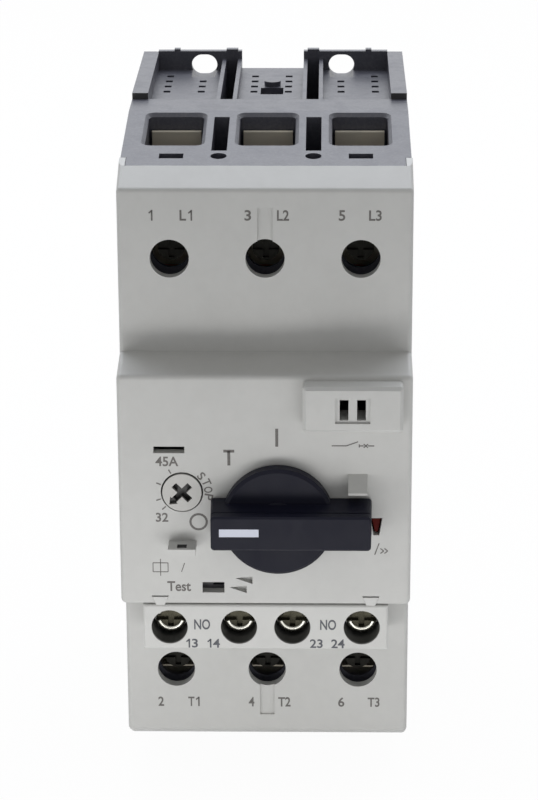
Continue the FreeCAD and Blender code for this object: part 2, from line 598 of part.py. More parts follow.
def polygon(profile, points):
    """A closed outline through points, each tied to the sheet."""
    first = profile.GeometryCount
    corners = [FreeCAD.Vector(as_dim(a).value, as_dim(b).value, 0) for a, b in points]
    count = len(corners)
    for index in range(count):
        profile.addGeometry(Part.LineSegment(corners[index], corners[(index + 1) % count]))
    for index in range(count):
        following = first + (index + 1) % count
        profile.addConstraint(Sketcher.Constraint("Coincident", first + index, 2, following, 1))
    for index in range(count):
        pin_point(profile, first + index, 1, points[index])


def rectangle(profile, a, b):
    polygon(profile, [(a[0], b[0]), (a[1], b[0]), (a[1], b[1]), (a[0], b[1])])


def rounded(profile, a, b, radius):
    """A rectangle with round corners, every end of its sides tied to the sheet."""
    radius = as_dim(radius)
    left, right = as_dim(a[0]), as_dim(a[1])
    low, high = as_dim(b[0]), as_dim(b[1])
    sides = [
        ((left + radius, low), (right - radius, low)),
        ((right, low + radius), (right, high - radius)),
        ((right - radius, high), (left + radius, high)),
        ((left, high - radius), (left, low + radius)),
    ]
    middles = [
        (right - radius, low + radius),
        (right - radius, high - radius),
        (left + radius, high - radius),
        (left + radius, low + radius),
    ]
    first = profile.GeometryCount
    for start, end in sides:
        ends = [FreeCAD.Vector(point[0].value, point[1].value, 0) for point in (start, end)]
        profile.addGeometry(Part.LineSegment(*ends))
    for index, (start, end) in enumerate(sides):
        pin_point(profile, first + index, 1, start)
        pin_point(profile, first + index, 2, end)
    for index, middle in enumerate(middles):
        centre = FreeCAD.Vector(middle[0].value, middle[1].value, 0)
        ring = Part.Circle(centre, FreeCAD.Vector(0, 0, 1), radius.value)
        begin = (index - 1) * math.pi / 2
        arc = profile.addGeometry(Part.ArcOfCircle(ring, begin, begin + math.pi / 2))
        profile.addConstraint(Sketcher.Constraint("Coincident", arc, 1, first + index, 2))
        profile.addConstraint(Sketcher.Constraint("Coincident", arc, 2, first + (index + 1) % 4, 1))
        constraint = profile.addConstraint(Sketcher.Constraint("Radius", arc, radius.value))
        profile.setExpression(f"Constraints[{constraint}]", radius.text)


def circle(profile, centre, radius):
    middle = FreeCAD.Vector(as_dim(centre[0]).value, as_dim(centre[1]).value, 0)
    ring = Part.Circle(middle, FreeCAD.Vector(0, 0, 1), as_dim(radius).value)
    geometry = profile.addGeometry(ring)
    pin_point(profile, geometry, 3, centre)
    constraint = Sketcher.Constraint("Radius", geometry, as_dim(radius).value)
    index = profile.addConstraint(constraint)
    profile.setExpression(f"Constraints[{index}]", as_dim(radius).text)


def feature(body, kind, profile, length, reverse):
    before = body.Shape.Volume if body.Tip else 0.0
    item = body.newObject(f"PartDesign::{kind}", f"{body.Name}_{kind.lower()}")
    item.Profile = profile
    item.Reversed = reverse
    bind(item, "Length", length)
    doc.recompute()
    grown = item.Shape.Volume - before
    if (kind == "Pad") != (grown > 0) or abs(grown) < TIGHT:
        raise RuntimeError(f"{item.Name} changes nothing")
    return item


def pad(body, profile, length, reverse=False):
    return feature(body, "Pad", profile, length, reverse)


def pocket(body, profile, length, reverse=False):
    return feature(body, "Pocket", profile, length, reverse)


def add_box(body, x, y, z):
    """Add a block; the sketch lies at its rear end and the block grows to the front."""
    profile = sketch(body, "XZ", y[1])
    rectangle(profile, x, z)
    return pad(body, profile, as_dim(y[1]) - y[0])


def cut_boxes(body, y, outlines):
    """Cut one or more blocks of equal depth; the sketch lies at their front end."""
    profile = sketch(body, "XZ", y[0])
    for x, z in outlines:
        rectangle(profile, x, z)
    return pocket(body, profile, as_dim(y[1]) - y[0])


def cut_holes(body, y, holes):
    """Cut round holes along the depth."""
    profile = sketch(body, "XZ", y[0])
    for centre, radius in holes:
        circle(profile, centre, radius)
    return pocket(body, profile, as_dim(y[1]) - y[0])


def near(first, second):
    return abs(first - second) < CLOSE


def dress_edges(body, kind, amount, chosen):
    """Round or bevel every edge that the test chooses by the two corners of the edge's box."""
    base = body.Tip
    names = []
    for index, edge in enumerate(base.Shape.Edges, start=1):
        span = edge.BoundBox
        low = FreeCAD.Vector(span.XMin, span.YMin, span.ZMin)
        high = FreeCAD.Vector(span.XMax, span.YMax, span.ZMax)
        if chosen(low, high):
            names.append(f"Edge{index}")
    item = body.newObject(f"PartDesign::{kind}", f"{body.Name}_{kind.lower()}")
    item.Base = (base, names)
    bind(item, "Radius" if kind == "Fillet" else "Size", amount)
    doc.recompute()
    if "Invalid" in item.State or near(item.Shape.Volume, base.Shape.Volume):
        raise RuntimeError(f"{item.Name} changes nothing")
    return item


# Places that several pieces share.

face = -size.body_depth
upper_face = size.upper_setback - size.body_depth
lower_face = size.lower_setback - size.body_depth
face_inside = face + size.cover_wall
upper_inside = upper_face + size.cover_wall
lower_inside = lower_face + size.cover_wall
cover_half = size.body_width / 2
base_half = size.base_width / 2
skirt_inside = cover_half - size.cover_wall
pole_plane = -size.pole_front
split_plane = -size.base_depth
driver_radius = size.driver_hole / 2
handle_axis = (size.handle_x, size.handle_z)
dial_axis = (size.dial_x, size.dial_z)
window_span = (-(size.window_rear + size.window_depth), -size.window_rear)
mount_slot_caps = (size.foot_slot_length - size.foot_slot_width) / 2
plate_opening_x = (size.plate_left + size.plate_margin, size.plate_right - size.plate_margin)
plate_opening_z = (size.plate_low + size.plate_margin, size.plate_high - size.plate_margin)
aux_top = -(size.central_low + size.fit_gap)
aux_bottom = aux_top - size.aux_height
aux_plug_z = (aux_bottom + size.aux_plug_inset, aux_top - size.aux_plug_inset)
aux_screw_places = (-size.aux_screw_outer, -size.aux_screw_inner, size.aux_screw_inner, size.aux_screw_outer)
aux_tabs = (-size.aux_tab_x, size.aux_tab_x)
arrow_tips = ((size.arrow_upper_x, size.arrow_upper_z), (size.arrow_lower_x, size.arrow_lower_z))
trip_arm = about(size.trip_arm_x, size.trip_arm_width / 2)
long_screws = [(size.screw_x * a, size.screw_z * b) for a in (-1, 1) for b in (-1, 1)]
carrier_travel = size.main_crank * (2 * QUARTER)
aux_travel = size.aux_crank * (2 * QUARTER)
main_pin_rest = (size.handle_x - size.main_crank * QUARTER, size.handle_z - size.main_crank * QUARTER)
aux_pin_rest = (size.handle_x + size.aux_crank * QUARTER, size.handle_z - size.aux_crank * QUARTER)


def pole_x(step):
    return size.pole_pitch * step


def mirrored(low, high, sign):
    """A span of heights, or its mirror image below the rail's centre line."""
    if sign > 0:
        return (as_dim(low), as_dim(high))
    return (-as_dim(high), -as_dim(low))


def make_mounting_base():
    """Dark rear moulding: rail recess, vented floors, arc chambers and the latch channel."""
    body = new_body("mounting_base")
    profile = sketch(body, "XZ", 0)
    rectangle(profile, (-base_half, base_half), (-size.side_half, size.side_half))
    pad(body, profile, size.base_depth)
    inner_wall = base_half - size.side_wall
    pocket_inner = size.rib_outer + size.rib_thick
    notch_half = size.notch_width / 2
    spans = ((-inner_wall, -pocket_inner), (pocket_inner, inner_wall))
    ribs = ((-pocket_inner, -notch_half), (notch_half, pocket_inner))
    slots = ((-size.rib_outer, -size.rib_inner), (size.rib_inner, size.rib_outer))
    pegs = [about(size.peg_x * side, size.peg_width / 2) for side in (-1, 1)]
    for sign in (1, -1):
        rim = mirrored(size.side_half, size.rim_half, sign)
        profile = sketch(body, "XZ", 0)
        for x in ((-inner_wall, -notch_half), (notch_half, inner_wall)):
            rectangle(profile, x, rim)
        pad(body, profile, size.rear_wall)
        peg = mirrored(size.rim_half, size.peg_half, sign)
        profile = sketch(body, "XZ", 0)
        for x in (*pegs, *slots):
            rectangle(profile, x, peg)
        pad(body, profile, size.rear_wall)
    before_wall = (split_plane, -size.rear_wall)
    for sign in (1, -1):
        floor = mirrored(size.floor_half, size.peg_half, sign)
        above_ribs = mirrored(size.strip_half, size.peg_half, sign)
        deep = mirrored(size.deep_slot_floor, size.peg_half, sign)
        cut_boxes(body, before_wall, [(x, floor) for x in spans])
        cut_boxes(body, (split_plane, 0), [((-notch_half, notch_half), floor)])
        cut_boxes(body, before_wall, [(x, above_ribs) for x in ribs])
        cut_boxes(body, before_wall, [(x, deep) for x in slots])
        profile = sketch(body, "XY", size.floor_half * sign)
        dip_y = (-(size.dip_rear + size.dip_length), -size.dip_rear)
        rectangle(profile, (-size.dip_left, size.dip_right), dip_y)
        pocket(body, profile, size.dip_depth, reverse=sign < 0)
        profile = sketch(body, "XY", size.floor_half * sign)
        circle(profile, (size.boss_x, -size.boss_y), size.boss_radius)
        pad(body, profile, size.boss_rise, reverse=sign < 0)
    chamber = (-size.chamber_half, size.chamber_half)
    half = size.chamber_width / 2
    cut_boxes(body, (split_plane, -size.chamber_rear), [(about(pole_x(k), half), chamber) for _, k in POLES])
    carrier_room = (size.bar_low - size.fit_gap * 3, size.bar_high + carrier_travel + size.fit_gap * 3)
    carrier_span = about(0, size.carrier_half + size.fit_gap * 3)
    cut_boxes(body, (split_plane, -(size.carrier_rear - size.fit_gap * 3)), [(carrier_span, carrier_room)])
    for sign in (1, -1):
        profile = sketch(body, "XY", size.floor_half * sign)
        for _, step in POLES:
            for column in (-1, 1):
                for row in range(VENT_ROWS):
                    vent_x = about(pole_x(step) + size.vent_offset * column, size.vent_width / 2)
                    vent_y = about(-(size.vent_first + size.vent_pitch * row), size.vent_length / 2)
                    rectangle(profile, vent_x, vent_y)
        pocket(body, profile, size.floor_half - size.chamber_half, reverse=sign < 0)
        height = size.foot_height * sign
        middles = (-size.foot_spacing / 2, size.foot_spacing / 2)
        reach = (-size.foot_slot_reach, 0)
        half_width = size.foot_slot_width / 2
        cut_boxes(body, reach, [(about(x, mount_slot_caps), about(height, half_width)) for x in middles])
        caps = [(x + mount_slot_caps * side, height) for x in middles for side in (-1, 1)]
        cut_holes(body, reach, [(place, half_width) for place in caps])
    rail_half = size.rail_height / 2
    hook_front = size.rail_flange - size.rail_depth
    hook_low = rail_half - size.hook_reach
    profile = sketch(body, "YZ", cover_half)
    polygon(profile, [
        (1, -rail_half),
        (-size.rail_depth, -rail_half),
        (-size.rail_depth, rail_half),
        (hook_front, rail_half),
        (hook_front, hook_low),
        (1, hook_low),
    ])
    pocket(body, profile, size.body_width)
    latch_half = size.latch_width / 2 + size.fit_gap
    neck_half = size.latch_neck / 2 + size.fit_gap
    channel = (-(size.peg_half + 1), -rail_half)
    cut_boxes(body, (-size.latch_front, -size.latch_lip), [((-latch_half, latch_half), channel)])
    cut_boxes(body, (-size.latch_lip, 0), [((-neck_half, neck_half), channel)])
    nest = size.spring_radius + size.spring_wire + size.fit_gap
    nest_z = (-(size.spring_top + size.spring_length), -size.spring_top)
    cut_boxes(body, (-(size.latch_front + nest * 2), -size.latch_front), [((-nest, nest), nest_z)])
    shank = size.screw_radius + size.fit_gap / 2
    cut_holes(body, (split_plane, 0), [(place, shank) for place in long_screws])
    head = size.screw_head + size.fit_gap
    cut_holes(body, (-size.screw_head_depth, 0), [(place, head) for place in long_screws])
    keep(body, "mounting_base")


def roof(y):
    """Half height of the pole housing's sloped top at a depth."""
    slope = (size.strip_half.value - size.lip_half.value) / (size.pole_front.value - size.strip_front.value)
    return size.lip_half.value + slope * (size.pole_front.value + y)


def make_pole_housing():
    """Dark middle moulding: six terminal chambers with windows, barrier slots, mechanism space."""
    body = new_body("pole_housing")
    outline = [
        (split_plane, size.strip_half),
        (-size.strip_front, size.strip_half),
        (pole_plane, size.lip_half),
        (pole_plane, -size.lip_half),
        (-size.strip_front, -size.strip_half),
        (split_plane, -size.strip_half),
    ]
    profile = sketch(body, "YZ", -base_half)
    polygon(profile, outline)
    pad(body, profile, size.base_width)
    step_x = cover_half - size.skirt_wall - size.fit_gap / 3
    tall = (-(size.strip_half + 1), size.strip_half + 1)
    skirt = (pole_plane, size.fit_gap / 3 - size.skirt_front)
    cut_boxes(body, skirt, [((-cover_half, -step_x), tall), ((step_x, cover_half), tall)])
    space = about(0, size.cavity_half_width)
    cut_boxes(body, (pole_plane, split_plane), [(space, about(0, size.cavity_half_height))])
    half = size.window_width / 2
    for sign in (1, -1):
        chamber = mirrored(size.terminal_floor, size.terminal_roof, sign)
        depth = (pole_plane + size.front_web, -size.window_rear)
        cut_boxes(body, depth, [(about(pole_x(k), half), chamber) for _, k in POLES])
        throat = mirrored(size.terminal_floor, size.strip_level + size.strip_thick + size.fit_gap, sign)
        strip = size.strip_width / 2 + size.fit_gap
        cut_boxes(body, (-size.window_rear, split_plane), [(about(pole_x(k), strip), throat) for _, k in POLES])
        holes = [((pole_x(k), size.terminal_height * sign), driver_radius) for _, k in POLES]
        cut_holes(body, (pole_plane, pole_plane + size.front_web), holes)
        top = (size.strip_half + 1) * sign
        profile = sketch(body, "XY", top)
        for _, step in POLES:
            rounded(profile, about(pole_x(step), size.window_mouth / 2), window_span, size.window_corner)
        pocket(body, profile, size.strip_half + 1 - size.terminal_roof, reverse=sign < 0)
        profile = sketch(body, "XY", top)
        slot = size.barrier_slot_width / 2
        slot_y = (-(size.barrier_slot_rear + size.barrier_slot_length), -size.barrier_slot_rear)
        for side in (-1, 1):
            rectangle(profile, about(size.screw_x * side, slot), slot_y)
        pocket(body, profile, size.strip_half + 1 - size.barrier_slot_floor, reverse=sign < 0)
        profile = sketch(body, "XY", top)
        for side in (-1, 1):
            circle(profile, (size.screw_x * side, -size.marker_row), size.marker_hole / 2)
            dash_x = about(pole_x(side), size.dash_length / 2)
            rectangle(profile, dash_x, about(-size.marker_row, size.dash_width / 2))
        dip = size.strip_half + 1 - size.lip_half + size.marker_depth
        pocket(body, profile, dip, reverse=sign < 0)

    def is_mouth(low, high):
        across = (low.x + high.x) / 2
        beside = [abs(across - pole_x(k).value) for _, k in POLES]
        inside = min(beside) < size.window_mouth.value / 2 + CLOSE
        between = low.y > window_span[0].value - CLOSE and high.y < window_span[1].value + CLOSE
        heights = sorted((abs(low.z), abs(high.z)))
        return inside and between and heights[0] > roof(low.y) - CLOSE and heights[1] < roof(high.y) + CLOSE

    dress_edges(body, "Chamfer", size.window_bevel, is_mouth)
    foot = size.bimetal_foot / 2 + size.fit_gap
    well = about(size.bimetal_y, size.bimetal_width / 2 + size.fit_gap)
    well_z = (-size.terminal_floor, -size.cavity_half_height)
    cut_boxes(body, well, [(about(pole_x(k), foot), well_z) for _, k in POLES])
    shank = size.screw_radius + size.fit_gap / 2
    cut_holes(body, (pole_plane, split_plane), [(place, shank) for place in long_screws])
    keep(body, "pole_housing")


def make_front_cover():
    """Light stepped cover with all openings of the front."""
    body = new_body("front_cover")
    slope = (size.strip_half - size.lip_half) / (size.pole_front - size.strip_front)
    skirt_half = size.lip_half + slope * (size.pole_front - size.skirt_front)
    profile = sketch(body, "YZ", -cover_half)
    polygon(profile, [
        (-size.skirt_front, skirt_half),
        (pole_plane, size.lip_half),
        (upper_face, size.front_half),
        (upper_face, size.central_half + size.ledge_rise),
        (face, size.central_half),
        (face, -size.central_low),
        (lower_face, -size.central_low),
        (lower_face, -size.front_half),
        (pole_plane, -size.lip_half),
        (-size.skirt_front, -skirt_half),
    ])
    pad(body, profile, size.body_width)
    noses = [
        (upper_face.value, size.front_half.value),
        (face.value, size.central_half.value),
        (lower_face.value, -size.front_half.value),
    ]

    def is_nose(low, high):
        across = near(low.y, high.y) and near(low.z, high.z)
        return across and any(near(low.y, y) and near(low.z, z) for y, z in noses)

    def is_seam(low, high):
        across = near(low.y, high.y) and near(low.z, high.z)
        return across and near(low.y, face.value) and near(low.z, -size.central_low.value)

    def is_side(low, high):
        beside = near(abs(low.x), cover_half.value) and near(low.x, high.x)
        return beside and high.y < pole_plane.value + TIGHT

    dress_edges(body, "Fillet", size.nose_edge, is_nose)
    dress_edges(body, "Fillet", size.seam_edge, is_seam)
    dress_edges(body, "Fillet", size.cover_edge, is_side)
    lip_inside = size.lip_half - size.cover_wall
    front_inside = size.front_half - size.cover_wall
    beyond = size.peg_half + 1
    profile = sketch(body, "YZ", skirt_inside)
    polygon(profile, [
        (1 - size.skirt_front, beyond),
        (pole_plane, beyond),
        (pole_plane, lip_inside),
        (upper_inside, front_inside),
        (upper_inside, size.central_half + size.ledge_rise - size.cover_wall),
        (face_inside, size.central_half - size.cover_wall),
        (face_inside, size.under_wall - size.central_low),
        (lower_inside, size.under_wall - size.central_low),
        (lower_inside, -front_inside),
        (pole_plane, -lip_inside),
        (pole_plane, -beyond),
        (1 - size.skirt_front, -beyond),
    ])
    pocket(body, profile, skirt_inside * 2)
    skirt_x = about(0, cover_half - size.skirt_wall)
    cut_boxes(body, (pole_plane, -size.skirt_front), [(skirt_x, about(0, beyond))])
    for sign, inside in ((1, upper_inside), (-1, lower_inside)):
        profile = sketch(body, "XZ", pole_plane)
        for side in (-1, 1):
            circle(profile, (size.screw_x * side, size.screw_z * sign), size.screw_boss)
        pad(body, profile, pole_plane - inside + size.cover_wall / 2)
        outer = upper_face if sign > 0 else lower_face
        holes = [((pole_x(k), size.terminal_height * sign), driver_radius) for _, k in POLES]
        cut_holes(body, (outer, inside), holes)
        groove_z = mirrored(size.terminal_height, size.front_half - size.groove_end, sign)
        cut_boxes(body, (outer, outer + size.groove_depth), [(about(0, size.groove_width / 2), groove_z)])
        shank = size.screw_radius + size.fit_gap / 2
        shank_holes = [((size.screw_x * side, size.screw_z * sign), shank) for side in (-1, 1)]
        cut_holes(body, (inside, pole_plane), shank_holes)
    wall = (face, face_inside)
    cut_holes(body, wall, [(handle_axis, size.shaft_radius + size.fit_gap)])
    cut_holes(body, wall, [(dial_axis, size.dial_radius + size.fit_gap)])
    seal_x = about(size.seal_slot_x, size.seal_slot_length / 2)
    seal_z = about(size.seal_slot_z, size.seal_slot_height / 2)
    test_x = about(size.test_x, size.test_length / 2)
    test_z = about(size.test_z, size.test_height / 2)
    cut_boxes(body, wall, [(seal_x, seal_z), (test_x, test_z), (plate_opening_x, plate_opening_z)])
    profile = sketch(body, "XZ", face)
    polygon(profile, flag_outline(0))
    pocket(body, profile, size.cover_wall)
    profile = sketch(body, "XZ", face)
    for tip_x, tip_z in arrow_tips:
        polygon(profile, [
            (tip_x, tip_z),
            (tip_x + size.arrow_length, tip_z - size.arrow_fall),
            (tip_x + size.arrow_length, tip_z + size.arrow_rise),
        ])
    pocket(body, profile, size.arrow_depth)
    profile = sketch(body, "YZ", size.stop_x - size.stop_width / 2)
    polygon(profile, [
        (face_inside, size.stop_high),
        (face, size.stop_high),
        (face - size.stop_reach, size.stop_shoulder),
        (face - size.stop_reach, size.stop_lift),
        (face, size.stop_low),
        (face_inside, size.stop_low),
    ])
    pad(body, profile, size.stop_width)
    lug_z = about(size.lug_z, size.lug_height / 2)
    add_box(body, about(size.lug_x, size.lug_width / 2), (face - size.lug_reach, face_inside), lug_z)
    hole_front = face - size.lug_hole_start - size.lug_hole_depth
    hole_y = (hole_front, hole_front + size.lug_hole_depth)
    cut_boxes(body, hole_y, [(about(size.lug_x, size.lug_hole_width / 2), lug_z)])
    profile = sketch(body, "XZ", face)
    for middle in aux_tabs:
        polygon(profile, dovetail(middle, size.fit_gap / 2, -size.central_low))
    pocket(body, profile, size.aux_tab_depth)
    plug_x = about(0, size.aux_plug_half + size.fit_gap)
    plug_z = (aux_plug_z[0] - size.fit_gap, aux_plug_z[1] + size.fit_gap)
    cut_boxes(body, (lower_face, lower_inside), [(plug_x, plug_z)])
    keep(body, "front_cover")


def dovetail(middle, play, low):
    """A dovetail that widens upwards from a level, larger by some play on each side."""
    crown = size.aux_tab_width / 2 + play
    root = crown - size.aux_tab_taper
    top = low + size.aux_tab_rise
    return [(middle - root, low), (middle + root, low), (middle + crown, top), (middle - crown, top)]


def flag_outline(play):
    """The tapered trip window, or the flag that is smaller by some play all round."""
    top = size.flag_width / 2 - play
    foot = size.flag_foot / 2 - play
    rise = size.flag_height / 2 - play
    return [
        (size.flag_x - top, size.flag_z + rise),
        (size.flag_x - foot, size.flag_z - rise),
        (size.flag_x + foot, size.flag_z - rise),
        (size.flag_x + top, size.flag_z + rise),
    ]


def make_accessory_cover():
    """Light snap-in plate over the accessory opening, with two slits in a small frame."""
    body = new_body("accessory_cover")
    front = face - size.plate_raise
    plate_x = (size.plate_left, size.plate_right)
    plate_z = (size.plate_low, size.plate_high)
    profile = sketch(body, "XZ", face)
    rounded(profile, plate_x, plate_z, size.plate_corner)
    pad(body, profile, size.plate_raise)

    def is_rim(low, high):
        return near(low.y, front.value) and near(high.y, front.value)

    dress_edges(body, "Chamfer", size.plate_edge, is_rim)
    play = size.fit_gap / 2
    skirt_x = (plate_opening_x[0] + play, plate_opening_x[1] - play)
    skirt_z = (plate_opening_z[0] + play, plate_opening_z[1] - play)
    add_box(body, skirt_x, (face, face_inside), skirt_z)
    wall = size.plate_skirt
    hollow_x = (skirt_x[0] + wall, skirt_x[1] - wall)
    hollow_z = (skirt_z[0] + wall, skirt_z[1] - wall)
    shell = front + size.slit_frame + size.plate_shell
    cut_boxes(body, (shell, face_inside), [(hollow_x, hollow_z)])
    frame_x = (size.slit_left - size.slit_width, size.slit_right + size.slit_width)
    frame_z = about(size.slit_z, size.slit_height / 2 + size.slit_frame)
    cut_boxes(body, (front, front + size.slit_frame), [(frame_x, frame_z)])
    slit_z = about(size.slit_z, size.slit_height / 2)
    slits = [(about(x, size.slit_width / 2), slit_z) for x in (size.slit_left, size.slit_right)]
    cut_boxes(body, (front + size.slit_frame, shell), slits)
    keep(body, "accessory_cover")


def make_aux_block():
    """Light plug-in contact block with four screw terminals, its screws and clamp plates."""
    body = new_body("aux_block_case")
    block_rear = lower_face - size.fit_gap
    x = about(0, size.aux_half_width)
    profile = sketch(body, "XZ", block_rear)
    rectangle(profile, x, (aux_bottom, aux_top))
    pad(body, profile, block_rear - face)

    def is_rim(low, high):
        return near(low.y, face.value) and near(high.y, face.value)

    dress_edges(body, "Fillet", size.aux_edge, is_rim)
    tab_y = (face, face + size.aux_tab_depth - size.fit_gap)
    profile = sketch(body, "XZ", tab_y[1])
    for middle in aux_tabs:
        polygon(profile, dovetail(middle, 0, aux_top))
    pad(body, profile, tab_y[1] - tab_y[0])
    add_box(body, about(0, size.aux_plug_half), (block_rear, -size.aux_plug_rear), aux_plug_z)
    hole_y = (face, face + size.aux_hole_depth)
    holes = [((place, size.aux_screw_z), size.aux_hole / 2) for place in aux_screw_places]
    cut_holes(body, hole_y, holes)
    entry_y = (hole_y[1], hole_y[1] + size.aux_entry)
    entry_z = (aux_bottom, size.aux_screw_z + size.aux_hole / 2)
    cut_boxes(body, entry_y, [(about(place, size.aux_hole / 2), entry_z) for place in aux_screw_places])
    room = (-size.aux_plug_rear - size.aux_room_depth, -size.aux_plug_rear)
    room_z = (aux_plug_z[0] + size.plate_skirt, aux_plug_z[1])
    cut_boxes(body, room, [(about(0, size.aux_room_half), room_z)])
    keep(body, "aux_block_case")
    head_y = behind(size.body_depth - size.aux_head_sink, size.aux_head_thick)
    plate_y = (head_y[1], head_y[1] + size.clamp_plate)
    screws = []
    plates = []
    for index, place in enumerate(aux_screw_places):
        centre = (place, size.aux_screw_z)
        head = cylinder(f"aux_head_{index}", "Y", centre, head_y, size.aux_head_radius)
        shank = cylinder(f"aux_shank_{index}", "Y", centre, (head_y[0], entry_y[1]), size.aux_shank)
        screws.append(slotted(f"aux_screw_{index}", fuse(f"aux_blank_{index}", head, shank), centre, head_y[0]))
        side = size.aux_head_radius * QUARTER
        plate = box(f"aux_plate_{index}", about(place, side), plate_y, about(size.aux_screw_z, side))
        fork_z = (size.aux_screw_z - size.aux_shank - size.thread_play, size.aux_screw_z + side)
        fork = box(f"aux_fork_{index}", about(place, size.aux_shank + size.thread_play), plate_y, fork_z)
        plates.append(cut(f"aux_clamp_{index}", plate, fork))
    keep(group("aux_screws", screws), "aux_screws")
    keep(group("aux_clamp_plates", plates), "aux_clamp_plates")


def slotted(name, blank, centre, front):
    """A screw with a combined slot: one long slot and one short one across it."""
    depth = (front, front + size.slot_depth)
    long_half = size.aux_head_radius * 2
    short_half = size.aux_head_radius * QUARTER
    half = size.slot_width / 2
    first = box(f"{name}_slot", about(centre[0], long_half), depth, about(centre[1], half))
    second = box(f"{name}_cross", about(centre[0], half), depth, about(centre[1], short_half))
    return cut(name, blank, first, second)


def make_handle():
    """Black rotary handle with its white marker, on a steel shaft with two cranks."""
    body = new_body("handle_knob")
    back = face - size.knob_lift
    front = back - size.bar_reach
    profile = sketch(body, "XZ", back)
    circle(profile, handle_axis, size.knob_radius)
    pad(body, profile, size.knob_disc)
    disc_front = back - size.knob_disc

    def is_disc_rim(low, high):
        return near(low.y, disc_front.value) and near(high.y, disc_front.value)

    dress_edges(body, "Chamfer", size.knob_bevel, is_disc_rim)
    bar_x = (size.handle_x - size.bar_pointer, size.handle_x + size.bar_tail)
    bar_z = about(size.handle_z, size.bar_height / 2)
    root = sketch(body, "XZ", back)
    root_x = (bar_x[0] - size.bar_draft, bar_x[1] + size.bar_draft)
    root_z = (bar_z[0] - size.bar_flare, bar_z[1] + size.bar_flare)
    rounded(root, root_x, root_z, size.bar_round)
    crown = sketch(body, "XZ", front)
    rounded(crown, bar_x, bar_z, size.bar_round)
    bar = body.newObject("PartDesign::AdditiveLoft", "handle_bar")
    bar.Profile = root
    bar.Sections = [crown]
    bar.Ruled = True
    doc.recompute()

    def is_bar_rim(low, high):
        return near(low.y, front.value) and near(high.y, front.value)

    dress_edges(body, "Chamfer", size.bar_rim, is_bar_rim)
    line_front = front + size.bar_line_back
    line_flare = size.bar_flare * (size.bar_line_back / size.bar_reach)
    line_x = (bar_x[0] - size.knob_radius, bar_x[1] + size.knob_radius)
    line_z = (bar_z[1] + line_flare - size.bar_line_depth, bar_z[1] + size.bar_flare)
    under_z = (bar_z[0] - size.bar_flare, bar_z[0] - line_flare + size.bar_line_depth)
    cut_boxes(body, (line_front, line_front + size.bar_line_depth), [(line_x, line_z), (line_x, under_z)])
    marker_x = about(size.handle_x - size.marker_centre, size.marker_length / 2)
    marker_z = about(size.handle_z + size.marker_up, size.marker_height / 2)
    cut_boxes(body, (front, front + size.marker_inset), [(marker_x, marker_z)])
    socket = (back - size.shaft_socket, back)
    cut_holes(body, socket, [(handle_axis, size.shaft_radius)])
    keep(body, "handle_knob")
    keep(box("handle_marker", marker_x, (front, front + size.marker_inset), marker_z), "handle_marker")
    crank_rear = size.aux_crank_front - size.crank_thick
    drum = behind(size.main_spring_front, size.main_spring_length)
    main_rear = size.main_crank_front - size.crank_thick
    aux_pin_end = size.pole_front + size.fit_gap * 2
    spans = [
        ("stem", handle_axis, (back - size.shaft_socket, -size.aux_crank_front), size.shaft_radius),
        ("front_disc", handle_axis, behind(size.aux_crank_front, size.crank_thick), size.crank_disc),
        ("front_pin", aux_pin_rest, (-crank_rear, -aux_pin_end), size.aux_pin),
        ("neck", handle_axis, (-crank_rear, -size.main_crank_front), size.shaft_neck),
        ("drum", handle_axis, drum, size.drum_radius),
        ("rear_disc", handle_axis, behind(size.main_crank_front, size.crank_thick), size.crank_disc),
        ("rear_pin", main_pin_rest, (-main_rear, -(size.yoke_rear - size.fit_gap)), size.main_pin),
    ]
    steps = [cylinder(f"shaft_{name}", "Y", centre, y, radius) for name, centre, y, radius in spans]
    keep(fuse("handle_shaft", *steps), "handle_shaft")
    outer = size.drum_radius + size.fit_gap + size.main_spring_wire
    spring = winding("main_spring", "Y", handle_axis, drum, outer, size.main_spring_wire, SPRING_TURNS)
    keep(spring, "main_spring")


def slanted(centre, near_end, far_end, half, hand):
    """A strip at 45 degrees, from one distance to another along its own direction."""
    corners = []
    for along, across in ((near_end, -half), (far_end, -half), (far_end, half), (near_end, half)):
        along = as_dim(along) * QUARTER
        across = as_dim(across) * (QUARTER * hand)
        corners.append((centre[0] + along - across, centre[1] + along * hand + across * hand))
    return corners


def make_setting_dial():
    """Round setting dial with a cross recess and an arrow, held by a flange behind the cover."""
    body = new_body("setting_dial")
    front = face - size.fit_gap
    flange_y = (face_inside + size.fit_gap, face_inside + size.fit_gap + size.strip_thick)
    profile = sketch(body, "XZ", flange_y[1])
    circle(profile, dial_axis, size.dial_flange)
    pad(body, profile, flange_y[1] - flange_y[0])
    profile = sketch(body, "XZ", flange_y[0])
    circle(profile, dial_axis, size.dial_radius)
    pad(body, profile, flange_y[0] - front)
    half = size.dial_cross / 2
    thin = size.dial_cross_width / 2
    for hand in (1, -1):
        profile = sketch(body, "XZ", front)
        polygon(profile, slanted(dial_axis, -half, half, thin, hand))
        pocket(body, profile, size.dial_cross_depth)
    neck = (size.dial_radius - size.dial_arrow_length - size.fit_gap) * -QUARTER
    tip = (size.dial_radius - size.fit_gap) * -QUARTER
    wing = size.dial_arrow * QUARTER
    profile = sketch(body, "XZ", front)
    polygon(profile, [
        (size.dial_x + tip, size.dial_z + tip),
        (size.dial_x + neck + wing, size.dial_z + neck - wing),
        (size.dial_x + neck - wing, size.dial_z + neck + wing),
    ])
    pocket(body, profile, size.dial_cross_depth / 2)
    keep(body, "setting_dial")


